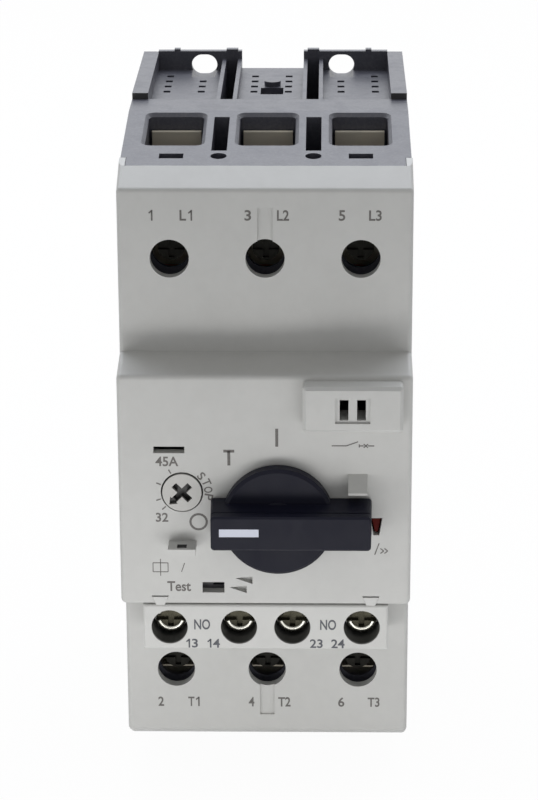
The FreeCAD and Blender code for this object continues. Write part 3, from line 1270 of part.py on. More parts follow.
def make_test_and_flag():
    """Test slide behind its slot, and the red trip flag in its window."""
    slide_y = (face_inside + size.fit_gap, face_inside + size.fit_gap + size.test_thick)
    slide_x = (trip_arm[1] + size.push_gap, size.test_x + size.test_length / 2 + size.test_travel)
    slide_z = (size.under_wall - size.central_low + size.fit_gap, size.test_z + size.test_height / 2)
    plate = box("test_plate", slide_x, slide_y, slide_z)
    lug_x = (trip_arm[1] + size.push_gap, trip_arm[1] + size.push_gap + size.trip_arm_width)
    lug = box("test_lug", lug_x, (slide_y[0], slide_y[1] + size.test_lug), (slide_z[0], size.trip_high))
    notch_x = (size.test_x + size.test_length / 2 - size.slot_width * 2, size.test_x + size.test_length / 2)
    notch = box("test_notch", notch_x, slide_y, about(size.test_z, size.test_height / 4))
    keep(cut("test_slide", fuse("test_blank", plate, lug), notch), "test_slide")
    body = new_body("trip_flag")
    front = face + size.flag_recess
    profile = sketch(body, "XZ", face_inside)
    polygon(profile, flag_outline(size.fit_gap))
    pad(body, profile, face_inside - front)
    stem_x = about(size.flag_x, size.flag_width / 2)
    stem_z = about(size.flag_z, size.flag_height / 2)
    stem_y = (face_inside + size.flag_recess + size.fit_gap, face_inside + size.flag_stem)
    neck_x = about(size.flag_x, size.flag_foot / 2 - size.fit_gap)
    add_box(body, neck_x, (face_inside, stem_y[0]), about(size.flag_z, size.flag_foot / 2))
    add_box(body, stem_x, stem_y, stem_z)
    keep(body, "trip_flag")


def make_terminals():
    """Per terminal: busbar with its tongue, box cage and clamp screw."""
    half = size.strip_width / 2
    reach = size.contact_size / 2
    tip_z = (size.strip_level - size.contact_tip, size.strip_level)
    for side, sign in SIDES:
        level = mirrored(size.strip_level, size.strip_level + size.strip_thick, sign)
        tongue_z = mirrored(size.strip_level, size.terminal_roof, sign)
        contact_end = size.contact_size / 2 + size.bridge_overhang - size.contact_line
        run_end = contact_end if sign > 0 else size.coil_y - size.coil_outer - size.fit_gap
        cage_z = about(size.terminal_height * sign, size.cage_height / 2)
        tall_z = mirrored(size.terminal_height - size.cage_height / 2, size.cage_back_rise, sign)
        tongue_y = (-(size.tongue_rear + size.strip_thick), -size.tongue_rear)
        cage_rear = -(size.window_rear + size.cage_gap)
        cage_y = (cage_rear - size.cage_length, cage_rear)
        nut_y = (cage_y[0], cage_y[0] + size.cage_nut)
        for name, step in POLES:
            tag = f"{side}_{name}"
            x = pole_x(step)
            centre = (x, size.terminal_height * sign)
            tongue = box(f"{tag}_tongue", about(x, half), tongue_y, tongue_z)
            run = box(f"{tag}_run", about(x, half), (tongue_y[0], run_end), level)
            strips = [tongue, run]
            if sign > 0:
                strips.append(box(f"{tag}_tip", about(x, reach), about(-size.contact_line, reach), tip_z))
            keep(fuse(f"{tag}_busbar", *strips), f"{side}_busbar_{name}")
            block = box(f"{tag}_block", about(x, size.cage_width / 2), cage_y, cage_z)
            room_y = (nut_y[1], cage_y[1] - size.cage_plate)
            room = box(f"{tag}_room", about(x, size.cage_width / 2 - size.cage_wall), room_y, cage_z)
            bore = cylinder(f"{tag}_bore", "Y", centre, nut_y, size.terminal_shank + size.thread_play)
            back = box(f"{tag}_back", about(x, size.cage_back_width / 2), (room_y[1], cage_y[1]), tall_z)
            frame = cut(f"{tag}_frame", block, room, bore)
            keep(fuse(f"{tag}_cage", frame, back), f"{side}_cage_{name}")
            shank_y = (-size.terminal_front, tongue_y[0] - size.fit_gap)
            shank = cylinder(f"{tag}_shank", "Y", centre, shank_y, size.terminal_shank)
            keep(slotted(f"{tag}_screw", shank, centre, shank_y[0]), f"{side}_screw_{name}")


def make_contacts():
    """Moving contact carrier with its yoke, three sprung bridges, and the arc plates above."""
    bar_y = (-size.carrier_front, -size.carrier_rear)
    bar = box("carrier_bar", about(0, size.carrier_half), bar_y, (size.bar_low, size.bar_high))
    yoke_y = (-(size.yoke_rear + size.yoke_thick), -size.yoke_rear)
    slot_half = size.main_pin + size.pin_play
    yoke_z = (main_pin_rest[1] - slot_half - size.yoke_foot, size.bar_high)
    yoke = box("carrier_yoke", about(0, size.yoke_half), yoke_y, yoke_z)
    arm_z = (size.bar_low, size.bar_high)
    arm = box("carrier_arm", about(0, size.yoke_half), (yoke_y[0], bar_y[0]), arm_z)
    left = size.handle_x - size.main_crank - slot_half
    right = main_pin_rest[0] + slot_half
    slot = box("carrier_slot", (left, right), yoke_y, about(main_pin_rest[1], slot_half))
    centre_y = (-size.contact_line - size.contact_load) / 2
    post_z = (size.bar_high, size.post_top)
    posts = [box(f"post_{name}", about(pole_x(k), size.post_half), about(centre_y, size.post_half), post_z)
             for name, k in POLES]
    keep(cut("contact_carrier", fuse("carrier_blank", bar, yoke, arm, *posts), slot), "contact_carrier")
    overhang = size.contact_size / 2 + size.bridge_overhang
    bridge_y = (-(size.contact_line + overhang), overhang - size.contact_load)
    bridge_z = (size.bridge_level, size.bridge_level + size.bridge_thick)
    tip_z = (bridge_z[1], bridge_z[1] + size.bridge_tip)
    reach = size.contact_size / 2
    eye = size.post_half + size.fit_gap / 2
    springs = []
    for name, step in POLES:
        x = pole_x(step)
        blade = box(f"blade_{name}", about(x, size.bridge_width / 2), bridge_y, bridge_z)
        front_tip = box(f"front_tip_{name}", about(x, reach), about(-size.contact_line, reach), tip_z)
        rear_tip = box(f"rear_tip_{name}", about(x, reach), about(-size.contact_load, reach), tip_z)
        hole = box(f"blade_eye_{name}", about(x, eye), about(centre_y, eye), bridge_z)
        blank = fuse(f"bridge_blank_{name}", blade, front_tip, rear_tip)
        keep(cut(f"bridge_{name}", blank, hole), f"contact_bridge_{name}")
        springs.append(winding(f"contact_spring_{name}", "Z", (x, centre_y), (size.bar_high, size.bridge_level),
                                   size.contact_spring_radius, size.spring_wire, SPRING_TURNS - 2))
    keep(group("contact_springs", springs), "contact_springs")
    cheeks = []
    arc_z = (size.arc_low, size.arc_high)
    stack = size.arc_pitch * (ARC_PLATES - 1) + size.arc_plate
    stack_y = (-size.arc_front, stack - size.arc_front)
    cheek_z = (size.arc_low, size.chamber_half - size.fit_gap)
    for name, step in POLES:
        x = pole_x(step)
        plates = []
        for index in range(ARC_PLATES):
            start = size.arc_pitch * index - size.arc_front
            y = (start, start + size.arc_plate)
            plates.append(box(f"arc_{name}_{index}", about(x, size.arc_width / 2), y, arc_z))
        notch_z = (size.arc_low, size.arc_low + size.arc_notch_rise)
        notch = box(f"arc_notch_{name}", about(x, size.arc_notch / 2), stack_y, notch_z)
        keep(cut(f"arc_plates_{name}", group(f"arc_stack_{name}", plates), notch), f"arc_plates_{name}")
        for hand in (-1, 1):
            inner = x + (size.arc_width / 2 + size.cheek_gap) * hand
            outer = inner + size.cheek_thick * hand
            span = (inner, outer) if hand > 0 else (outer, inner)
            cheeks.append(box(f"cheek_{name}_{hand + 1}", span, stack_y, cheek_z))
    keep(group("arc_chute_cheeks", cheeks), "arc_chute_cheeks")


def make_trip_units():
    """Per pole: trip coil with its conductor, yoke and plunger, and the bimetal; then the trip bar."""
    yokes = []
    half = size.strip_width / 2
    plate = size.yoke_plate
    yoke_rear = size.coil_y + size.coil_outer + size.fit_gap * 3
    yoke_front = size.coil_y - size.coil_outer
    yoke_z = (size.coil_low - size.fit_gap - plate, size.coil_high + size.fit_gap + plate)
    for name, step in POLES:
        x = pole_x(step)
        centre = (x, size.coil_y)
        wide = about(x, size.yoke_half_width)
        back = box(f"yoke_back_{name}", wide, (yoke_rear, yoke_rear + plate), yoke_z)
        upper = box(f"yoke_upper_{name}", wide, (yoke_front, yoke_rear), (yoke_z[1] - plate, yoke_z[1]))
        lower = box(f"yoke_lower_{name}", wide, (yoke_front, yoke_rear), (yoke_z[0], yoke_z[0] + plate))
        eye = cylinder(f"yoke_eye_{name}", "Z", centre, (yoke_z[1] - plate, yoke_z[1]), size.coil_inner)
        gate_z = (size.coil_high - size.strip_thick - size.fit_gap, size.coil_high + size.fit_gap)
        gate = box(f"yoke_gate_{name}", about(x, half + size.fit_gap), (yoke_rear, yoke_rear + plate), gate_z)
        yokes.append(cut(f"yoke_{name}", fuse(f"yoke_blank_{name}", back, upper, lower), eye, gate))
        keep(make_coil(name, x, half), f"trip_coil_{name}")
        plunger_z = (yoke_z[1] + size.plunger_rise - size.plunger_length, yoke_z[1] + size.plunger_rise)
        keep(cylinder(f"plunger_{name}", "Z", centre, plunger_z, size.plunger_radius), f"trip_plunger_{name}")
        strip_y = about(size.bimetal_y, size.bimetal_width / 2)
        strip = box(f"bimetal_strip_{name}", about(x, size.bimetal_thick / 2), strip_y,
                    (-size.strip_level, size.bimetal_top))
        foot_z = (-size.strip_level, size.strip_thick - size.strip_level)
        foot = box(f"bimetal_foot_{name}", about(x, size.bimetal_foot / 2), strip_y, foot_z)
        keep(fuse(f"bimetal_{name}", strip, foot), f"bimetal_{name}")
    keep(group("coil_yokes", yokes), "coil_yokes")
    z = (size.trip_low, size.trip_high)
    bar = box("trip_beam", about(0, size.trip_half), (-size.trip_front, -size.trip_rear), z)
    parts = [bar]
    for name, step in POLES:
        right = pole_x(step) - size.bimetal_thick / 2 - size.trip_reach
        reach = size.bimetal_y + size.bimetal_width / 2
        parts.append(box(f"trip_finger_{name}", (right - size.trip_finger, right), (-size.trip_rear, reach), z))
    parts.append(box("trip_arm", trip_arm, (-size.trip_arm_front, -size.trip_front), z))
    keep(fuse("trip_bar", *parts), "trip_bar")


def make_coil(name, x, half):
    """A winding joined by a strap to the rear fixed contact."""
    span = (size.coil_low, size.coil_high)
    radius = size.coil_inner + size.coil_wire
    coil = winding(f"winding_{name}", "Z", (x, size.coil_y), span, radius, size.coil_wire, COIL_TURNS)
    strap_y = (-(size.chamber_rear + size.fit_gap + size.strip_thick), -(size.chamber_rear + size.fit_gap))
    link_z = (size.coil_high - size.strip_thick, size.coil_high)
    level = (size.strip_level, size.strip_level + size.strip_thick)
    front = -(size.contact_load + size.contact_size / 2 + size.bridge_overhang)
    strap = box(f"strap_{name}", about(x, half), strap_y, (link_z[0], level[1]))
    link_y = (size.coil_y + size.coil_inner + size.coil_wire, strap_y[1])
    link = box(f"strap_link_{name}", about(x, half), link_y, link_z)
    ledge = box(f"strap_ledge_{name}", about(x, half), (front, strap_y[1]), level)
    reach = size.contact_size / 2
    tip_z = (size.strip_level - size.contact_tip, size.strip_level)
    tip = box(f"strap_tip_{name}", about(x, reach), about(-size.contact_load, reach), tip_z)
    return fuse(f"trip_coil_{name}", coil, strap, link, ledge, tip)


def make_mechanism_plate():
    """Steel plate that carries the shaft and the latch lever, and the lever itself."""
    y = behind(size.chassis_front, size.chassis_thick)
    wide = about(0, size.cavity_half_width - size.fit_gap)
    tall = about(0, size.cavity_half_height - size.fit_gap)
    blank = box("chassis_blank", wide, y, tall)
    bearing = cylinder("chassis_bearing", "Y", handle_axis, y, size.shaft_neck + size.thread_play)
    room = size.fit_gap * 2
    gate_x = (trip_arm[0] - size.test_travel - room, trip_arm[1] + room)
    gate = box("chassis_gate", gate_x, y, (size.trip_low - room, size.trip_high + room))
    pivot = (size.latch_pivot_x, size.latch_pivot_z)
    pin_y = (y[0], y[1] + size.fit_gap * 2 + size.latch_thick)
    pin = cylinder("latch_pin", "Y", pivot, pin_y, size.latch_pin)
    keep(fuse("mechanism_plate", cut("chassis_plate", blank, bearing, gate), pin), "mechanism_plate")
    lever_y = (y[1] + size.fit_gap, y[1] + size.fit_gap + size.latch_thick)
    hub = cylinder("latch_hub", "Y", pivot, lever_y, size.latch_arm)
    arm_right = trip_arm[0] - size.push_gap
    arm_x = (arm_right - size.latch_arm, arm_right)
    arm = box("latch_leg", arm_x, lever_y, (size.trip_low, size.latch_pivot_z))
    nose = box("latch_nose_bar", (size.latch_pivot_x, size.latch_pivot_x + size.latch_nose), lever_y,
               about(size.latch_pivot_z, size.latch_arm / 2))
    link = box("latch_link", (arm_x[0], size.latch_pivot_x), lever_y,
               about(size.latch_pivot_z, size.latch_arm / 2))
    eye = cylinder("latch_eye", "Y", pivot, lever_y, size.latch_pin + size.thread_play)
    keep(cut("latch_lever", fuse("latch_blank", hub, arm, nose, link), eye), "latch_lever")


def make_aux_slide():
    """Forked slide that the front crank moves, with its two contact bridges."""
    y = (-(size.aux_crank_front - size.crank_thick - size.fit_gap * 3), -(size.pole_front + size.fit_gap * 3))
    slot_half = size.aux_pin + size.pin_play
    lowest = size.handle_z - size.aux_crank - slot_half
    foot = aux_plug_z[0] + size.plate_skirt + size.fit_gap
    top = aux_pin_rest[1] + size.aux_pin / 2
    half = slot_half + size.aux_fork
    blank = box("aux_fork_blank", about(aux_pin_rest[0], half), y, (foot, top))
    slot = box("aux_fork_slot", about(aux_pin_rest[0], slot_half), y, (lowest, top))
    keep(cut("aux_slide", blank, slot), "aux_slide")
    bar_y = (y[1], y[1] + size.aux_bridge_thick)
    bars = []
    for index in range(2):
        low = foot + size.aux_bridge_height * 2 * index
        bars.append(box(f"aux_bar_{index}", about(aux_pin_rest[0], half + size.aux_fork), bar_y,
                        (low, low + size.aux_bridge_height)))
    keep(group("aux_bridges", bars), "aux_bridges")


def make_rail_latch():
    """Sprung latch that grips the rail from below, and its spring."""
    half = size.latch_width / 2
    neck = size.latch_neck / 2
    nose_z = size.hook_reach - size.rail_height / 2
    wide_y = (size.fit_gap - size.latch_front, -(size.latch_lip + size.fit_gap))
    shelf_z = -(size.rail_height / 2 + size.fit_gap)
    plate = box("latch_plate", (-half, half), wide_y, (-size.latch_foot, shelf_z))
    spine = box("latch_spine", (-neck, neck), (wide_y[1], -size.fit_gap), (-size.latch_foot, shelf_z))
    nose_y = (size.rail_flange - size.rail_depth, wide_y[1])
    nose = box("latch_tooth", (-neck, neck), nose_y, (shelf_z, nose_z))
    lug_z = (-(size.spring_top + size.latch_lip), -(size.spring_top + size.fit_gap))
    lug_y = (wide_y[0] - size.spring_radius * 2, wide_y[0])
    lug = box("latch_lug", about(0, size.spring_radius), lug_y, lug_z)
    grip = box("latch_grip", about(0, neck / 2), (wide_y[1], -size.fit_gap),
               about(size.latch_lip * 2 - size.latch_foot, size.latch_lip / 2))
    keep(cut("rail_latch", fuse("latch_blank_plate", plate, spine, nose, lug), grip), "rail_latch")
    nest = size.spring_radius + size.spring_wire + size.fit_gap
    axis = (0, -(size.latch_front + nest))
    span = (-(size.spring_top + size.spring_length), lug_z[0])
    spring = winding("latch_spring", "Z", axis, span, size.spring_radius, size.spring_wire, SPRING_TURNS * 2)
    keep(spring, "latch_spring")


def make_housing_screws():
    """Four long screws from the rear into the cover's bosses."""
    screws = []
    head_y = (size.fit_gap - size.screw_head_depth, -size.fit_gap)
    for index, (x, z) in enumerate(long_screws):
        head = cylinder(f"long_head_{index}", "Y", (x, z), head_y, size.screw_head)
        end = upper_inside if z.value > 0 else lower_inside
        shank = cylinder(f"long_shank_{index}", "Y", (x, z), (end + size.fit_gap, head_y[1]), size.screw_radius)
        screws.append(fuse(f"long_screw_{index}", head, shank))
    keep(group("housing_screws", screws), "housing_screws")


make_mounting_base()
make_pole_housing()
make_front_cover()
make_accessory_cover()
make_aux_block()
make_handle()
make_setting_dial()
make_test_and_flag()
make_terminals()
make_contacts()
make_trip_units()
make_mechanism_plate()
make_aux_slide()
make_rail_latch()
make_housing_screws()

doc.recompute()
failed = [item.Name for item in doc.Objects if "Invalid" in item.State or "Error" in item.State]
for item in pieces:
    if item.Shape.isNull() or not item.Shape.isValid() or not item.Shape.Solids:
        failed.append(item.Label)
if failed:
    raise RuntimeError("failed: " + ", ".join(failed))
os.makedirs("parts", exist_ok=True)
for item in pieces:
    item.Shape.exportStep(os.path.join("parts", item.Label + ".step"))
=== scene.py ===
"""Finishes, printed legends and studio for the motor protection circuit breaker.

Everything is in metres in the model's own frame: +X right, +Y to the rear, +Z up, rear plane at Y 0.
"""
import json
import math

import bmesh
import bpy
from bpy.props import FloatProperty, FloatVectorProperty, PointerProperty
from mathutils import Matrix, Vector


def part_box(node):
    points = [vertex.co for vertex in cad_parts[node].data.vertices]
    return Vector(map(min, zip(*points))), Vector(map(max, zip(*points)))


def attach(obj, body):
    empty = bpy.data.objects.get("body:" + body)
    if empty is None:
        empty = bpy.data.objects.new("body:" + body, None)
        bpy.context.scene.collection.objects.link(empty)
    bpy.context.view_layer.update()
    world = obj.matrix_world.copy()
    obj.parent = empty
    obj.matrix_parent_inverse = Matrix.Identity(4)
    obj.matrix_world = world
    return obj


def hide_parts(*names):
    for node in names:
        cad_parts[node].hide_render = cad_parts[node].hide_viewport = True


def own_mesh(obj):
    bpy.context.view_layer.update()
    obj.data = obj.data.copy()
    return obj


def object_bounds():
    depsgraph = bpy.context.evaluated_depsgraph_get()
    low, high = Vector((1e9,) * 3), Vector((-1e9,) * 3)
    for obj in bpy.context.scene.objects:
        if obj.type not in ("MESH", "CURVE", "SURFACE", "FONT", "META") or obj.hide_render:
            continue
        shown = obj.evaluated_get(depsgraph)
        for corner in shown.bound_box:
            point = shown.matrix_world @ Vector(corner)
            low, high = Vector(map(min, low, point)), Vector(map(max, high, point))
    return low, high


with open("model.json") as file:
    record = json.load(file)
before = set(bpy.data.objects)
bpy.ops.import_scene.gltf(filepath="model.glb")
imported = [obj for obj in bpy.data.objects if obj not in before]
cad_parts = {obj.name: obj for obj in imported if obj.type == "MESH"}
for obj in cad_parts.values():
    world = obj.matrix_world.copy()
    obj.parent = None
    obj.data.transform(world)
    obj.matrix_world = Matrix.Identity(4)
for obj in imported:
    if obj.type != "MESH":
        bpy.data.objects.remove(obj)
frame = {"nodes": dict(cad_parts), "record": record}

bl_info = {
    "name": "Motor breaker finishes",
    "version": (1, 0, 0),
    "blender": (4, 5, 0),
    "location": "3D View > Sidebar > Breaker",
    "description": "Dresses the breaker's solids with finishes, printed legends and a studio",
    "category": "Object",
}

MM = 0.001

# Points closer than this are one point, in metres.
MERGE = 1e-7
CAD_BOX = [list(corner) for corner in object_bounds()]

# The camera: picture height and focal length in pixels, angles in degrees, place in metres.
IMAGE_HEIGHT = 800
FOCAL_PIXELS = 2792.7
CAMERA_TILT = 19.36
CAMERA_YAW = -1.23
CAMERA_ROLL = -0.2485
CAMERA_PLACE = (0.01111, -0.57143, 0.18595)

# Levels along Y, in metres.
CENTRAL_FACE = -92.0 * MM
UPPER_FACE = -82.5 * MM
LOWER_FACE = -81.0 * MM
SEAM = -38.0 * MM

# Places across and up the front, in millimetres.
POLES_X = (-17.5, 0, 17.5)
HANDLE_X = 2.4
DIAL_CENTRE = (-15.3, -0.6)
TICK_DEGREES = (223, 199, 159, 118.6)
OFF_RING = (-12.3, -6.45)
LUG_X = -15.3
BLOCK_SCREWS_X = (-18.0, -5.0, 5.0, 18.0)
BLOCK_SCREWS_Z = -27.7
LONG_SCREWS_X = (-8.75, 8.75)
LONG_SCREWS_Z = 37.0

# Colours of settled dust and of the film on plated steel, as scene values.
DUST = (0.6, 0.59, 0.57)
FILM = (0.55, 0.5, 0.38)


def linear(red, green, blue):
    """A colour given in display steps of 255, as scene values."""
    steps = [channel / 255 for channel in (red, green, blue)]
    return [step / 12.92 if step <= 0.04045 else ((step + 0.055) / 1.055) ** 2.4 for step in steps]


def colour(name, description, red, green, blue):
    """A colour property with its default given in display steps."""
    return FloatVectorProperty(
        name=name,
        description=description,
        subtype="COLOR",
        size=3,
        min=0,
        max=1,
        default=linear(red, green, blue),
    )


def length(name, description, default):
    """A length property with its default given in millimetres."""
    return FloatProperty(
        name=name, description=description, unit="LENGTH", default=default * MM, precision=5
    )


def power(name, description, default):
    """A light's power, in watts."""
    return FloatProperty(name=name, description=description, subtype="POWER", default=default)


class BreakerFinishes(bpy.types.PropertyGroup):
    """Colours of the pieces."""

    cover: colour("Cover", "Light moulding of the front cover", 197, 197, 194)
    auxiliary: colour("Auxiliary block", "Light moulding of the contact block", 203, 203, 200)
    housing: colour("Housings", "Dark moulding of the base and pole housing", 60, 61, 71)
    handle: colour("Handle", "Black moulding of the rotary handle", 17, 18, 32)
    marker: colour("Marker", "White inlay of the handle", 198, 202, 216)
    dial: colour("Dial", "Grey moulding of the setting dial", 192, 191, 187)
    flag: colour("Flag", "Red moulding of the trip flag", 84, 14, 8)
    inner: colour("Inner mouldings", "Carrier, trip bar and slides", 70, 69, 72)
    latch: colour("Rail latch", "Moulding of the rail latch", 52, 53, 58)
    fibre: colour("Fibre", "Arc chute cheeks", 172, 132, 96)
    steel: colour("Steel", "Punched mechanism parts", 168, 168, 170)
    spring: colour("Springs", "Drawn spring wire", 150, 151, 156)
    rim: colour("Screw rims", "Polished rims of the block's screws", 188, 187, 178)
    # Block screws use this colour; the terminal screws take it at a third of its strength, as painted shade
    # of their deep holes.
    screw: colour("Screws", "Dark passivated block screws, and darker on the terminal screws", 70, 68, 58)
    zinc: colour("Plated steel", "Long screws, cages and clamp plates", 190, 184, 168)
    copper: colour("Copper", "Busbars, coils and bridges", 201, 128, 92)
    bimetal: colour("Bimetal", "Rolled bimetal strips", 160, 154, 146)
    ink: colour("Print", "Grey of the printed legends", 99, 96, 93)
    block_ink: colour("Block print", "Darker grey of the contact block's numbers", 84, 86, 92)


class BreakerSizes(bpy.types.PropertyGroup):
    """Sizes of the added pieces."""

    print_rise: length("Print thickness", "How far the printed legends stand off the moulding", 0.03)
    line_width: length("Line width", "Width of the printed lines", 0.3)
    ring_radius: length("Off ring", "Radius of the ring at the off position", 1.5)
    tick_start: length("Tick start", "Dial axis to the scale's ticks", 4.15)
    tick_length: length("Tick", "Length of the dial scale's ticks", 0.9)
    thin_wire: length("Thin spring wire", "Wire radius of the latch and contact springs", 0.3)
    thick_wire: length("Thick spring wire", "Wire radius of the main spring", 0.5)
    recess_arm: length("Recess arm", "Axis of a long screw to the end of its cross recess", 1.55)
    recess_half: length("Recess half width", "Half width of the cross recess", 0.38)
    recess_depth: length("Recess depth", "Depth of the cross recess", 1.3)
    rim_radius: length("Screw rim", "Axis of a block screw to the middle of its rim", 2.4)
    rim_round: length("Rim rounding", "Rounding of a block screw's rim", 0.55)


class BreakerStudio(bpy.types.PropertyGroup):
    """Floor and lights."""

    floor_gap: length("Floor gap", "Floor below the lowest point, clear of the pulled rail latch", 4.2)
    back_power: power("Back light", "Power of the light behind", 1.4)
    top_power: power("Top light", "Power of the light above", 5.8)
    low_power: power("Low light", "Power of the low light in front", 0.106)
    world: FloatProperty(
        name="Surroundings", description="Strength of the white surroundings", default=0.34
    )


class Signal:
    """A node's output that can be used in sums and products."""

    def __init__(self, finish, socket):
        self.finish = finish
        self.socket = socket

    def combine(self, operation, first, second):
        """A calculation with two values or signals."""
        made = self.finish.node("ShaderNodeMath", {"operation": operation}, {0: first, 1: second})
        return Signal(self.finish, made.outputs[0])

    def __add__(self, other):
        return self.combine("ADD", self, other)

    def __radd__(self, other):
        return self.combine("ADD", other, self)

    def __sub__(self, other):
        return self.combine("SUBTRACT", self, other)

    def __rsub__(self, other):
        return self.combine("SUBTRACT", other, self)

    def __mul__(self, other):
        return self.combine("MULTIPLY", self, other)


class Finish:
    """One material under construction."""

    def __init__(self, name):
        self.material = bpy.data.materials.new(name)
        self.material.use_nodes = True
        self.tree = self.material.node_tree
        self.tree.nodes.clear()
        self.shader = self.node("ShaderNodeBsdfPrincipled")
        output = self.node("ShaderNodeOutputMaterial")
        self.tree.links.new(self.shader.outputs[0], output.inputs["Surface"])
        self.place = Signal(self, self.node("ShaderNodeTexCoord").outputs["Object"])

    def node(self, kind, options=None, sockets=None):
        """A node with its options, then the values or links of its sockets."""
        made = self.tree.nodes.new(kind)
        for name, value in (options or {}).items():
            if name == "stops":
                self.set_stops(made.color_ramp, value)
            else:
                setattr(made, name, value)
        for key, value in (sockets or {}).items():
            self.feed(made.inputs[key], value)
        return made

    def set_stops(self, ramp, stops):
        """The positions and colours of a colour ramp."""
        while len(ramp.elements) < len(stops):
            ramp.elements.new(0.5)
        for element, (position, hue) in zip(ramp.elements, stops):
            element.position = position
            element.color = (*hue, 1)

    def feed(self, socket, value):
        """Link a signal to a socket or set its value."""
        if isinstance(value, Signal):
            self.tree.links.new(value.socket, socket)
        elif hasattr(value, "__len__") and socket.type == "RGBA":
            socket.default_value = (*value, 1)
        else:
            socket.default_value = value

    def noise(self, scale, detail=3.0, roughness=0.5, stretch=(1, 1, 1), shift=(0, 0, 0)):
        """Noise from 0 to 1, with its scale in grains per metre."""
        place = self.place
        if stretch != (1, 1, 1) or shift != (0, 0, 0):
            moved = {"Vector": place, "Scale": stretch, "Location": shift}
            place = Signal(self, self.node("ShaderNodeMapping", {}, moved).outputs[0])
        sockets = {"Vector": place, "Scale": scale, "Detail": detail, "Roughness": roughness}
        return Signal(self, self.node("ShaderNodeTexNoise", {}, sockets).outputs["Fac"])

    def along(self, axis):
        """The coordinate along one axis, in metres."""
        return Signal(self, self.node("ShaderNodeSeparateXYZ", {}, {0: self.place}).outputs[axis])

    def size_of(self, signal):
        """A value without its sign."""
        return Signal(self, self.node("ShaderNodeMath", {"operation": "ABSOLUTE"}, {0: signal}).outputs[0])

    def ramp(self, signal, stops):
        """A colour for each strength of a signal."""
        made = self.node("ShaderNodeValToRGB", {"stops": stops}, {"Fac": signal})
        return Signal(self, made.outputs["Color"])

    def mask(self, signal, low, high):
        """0 below low, 1 above high."""
        sockets = {"Value": signal, "From Min": low, "From Max": high}
        return Signal(self, self.node("ShaderNodeMapRange", {"clamp": True}, sockets).outputs[0])

    def blend(self, factor, first, second):
        """A colour between two."""
        options = {"data_type": "RGBA", "blend_type": "MIX"}
        made = self.node("ShaderNodeMix", options, {0: factor, 6: first, 7: second})
        return Signal(self, made.outputs[2])

    def bump(self, height, depth, strength=1.0):
        """Fine relief, with its depth in metres."""
        sockets = {"Height": height, "Distance": depth, "Strength": strength}
        return Signal(self, self.node("ShaderNodeBump", {}, sockets).outputs[0])

    def set(self, **sockets):
        """Feed the shader's sockets and give back the material."""
        for name, value in sockets.items():
            self.feed(self.shader.inputs[name.replace("_", " ")], value)
        return self.material


def shade(base, factor):
    """A darker or lighter colour."""
    return [channel * factor for channel in base]


def tint(base, other, amount):
    """A colour moved towards another."""
    return [channel + (second - channel) * amount for channel, second in zip(base, other)]


def moulding(
    name, base, rough, grain=2600.0, grain_depth=0.012, mottle=0.05, specular=0.5, dust=0.0, grime_and_painted_shade=None
):
    """Moulded plastic: spark-eroded grain, faint flow marks, handling marks, and a darkening from the mask
    given: grime in a seam, painted shade in recesses.
    """
    finish = Finish(name)
    flow = finish.noise(60, detail=4, roughness=0.55, stretch=(1, 0.35, 1))
    cloud = finish.noise(420, detail=3, roughness=0.6)
    fine = finish.noise(grain, detail=2, roughness=0.6)
    tone = finish.mask(flow * 0.6 + cloud * 0.4, 0.3, 0.7)
    body = finish.blend(tone, shade(base, 1 - mottle), shade(base, 1 + mottle * 0.6))
    if dust:
        settled = finish.mask(finish.noise(1500, detail=5, roughness=0.75), 0.45, 0.8) * dust
        body = finish.blend(settled, body, tint(base, DUST, 0.5))
    if grime_and_painted_shade:
        # Darken where the mask is high: real grime in the housing seam, and painted shade in the dial's
        # recesses, the block's screw holes and the lug's wire hole.
        body = finish.blend(grime_and_painted_shade(finish), body, shade(base, 0.06))
    rubbed = finish.mask(finish.noise(240, detail=4, roughness=0.65, stretch=(1, 1, 0.5)), 0.45, 0.7)
    gloss = rough + (rubbed - 0.5) * 0.08 + (fine - 0.5) * 0.06
    normal = finish.bump(fine * 0.7 + cloud * 0.3, grain_depth * MM, 0.5)
    return finish.set(Base_Color=body, Roughness=gloss, Normal=normal, IOR=1.5, Specular_IOR_Level=specular)


def dial_painted_shade(finish):
    """Painted shade in the dial's cross and arrow, growing with depth behind the central face."""
    return finish.mask(finish.along("Y"), CENTRAL_FACE - 0.1 * MM, CENTRAL_FACE + 0.7 * MM)


def block_hole_painted_shade(finish):
    """Painted shade on the walls of the contact block's screw holes, growing with depth behind the central
    face.
    """
    inner = 3.42 * MM
    outer = 3.45 * MM
    across = finish.size_of(finish.along("X"))
    up = finish.along("Z") - BLOCK_SCREWS_Z * MM
    deep = finish.mask(finish.along("Y"), CENTRAL_FACE + 0.05 * MM, CENTRAL_FACE + 0.8 * MM)
    walls = 0
    for middle in BLOCK_SCREWS_X[2:]:
        aside = across - middle * MM
        walls = walls + (1 - finish.mask(aside * aside + up * up, inner**2, outer**2))
    return walls * deep


def seam_grime(finish):
    """Grime in the seam between the base and the pole housing."""
    away = finish.size_of(finish.along("Y") - SEAM)
    return 1 - finish.mask(away, 0.1 * MM, 0.17 * MM)


def wire_hole_painted_shade(finish):
    """Painted shade in the wire hole of the cover's sealing lug."""
    hole_middle = CENTRAL_FACE - 2.8 * MM
    aside = finish.size_of(finish.along("X") - LUG_X * MM)
    ahead = finish.size_of(finish.along("Y") - hole_middle)
    return (1 - finish.mask(aside, 0.87 * MM, 0.9 * MM)) * (1 - finish.mask(ahead, 0.82 * MM, 0.85 * MM))


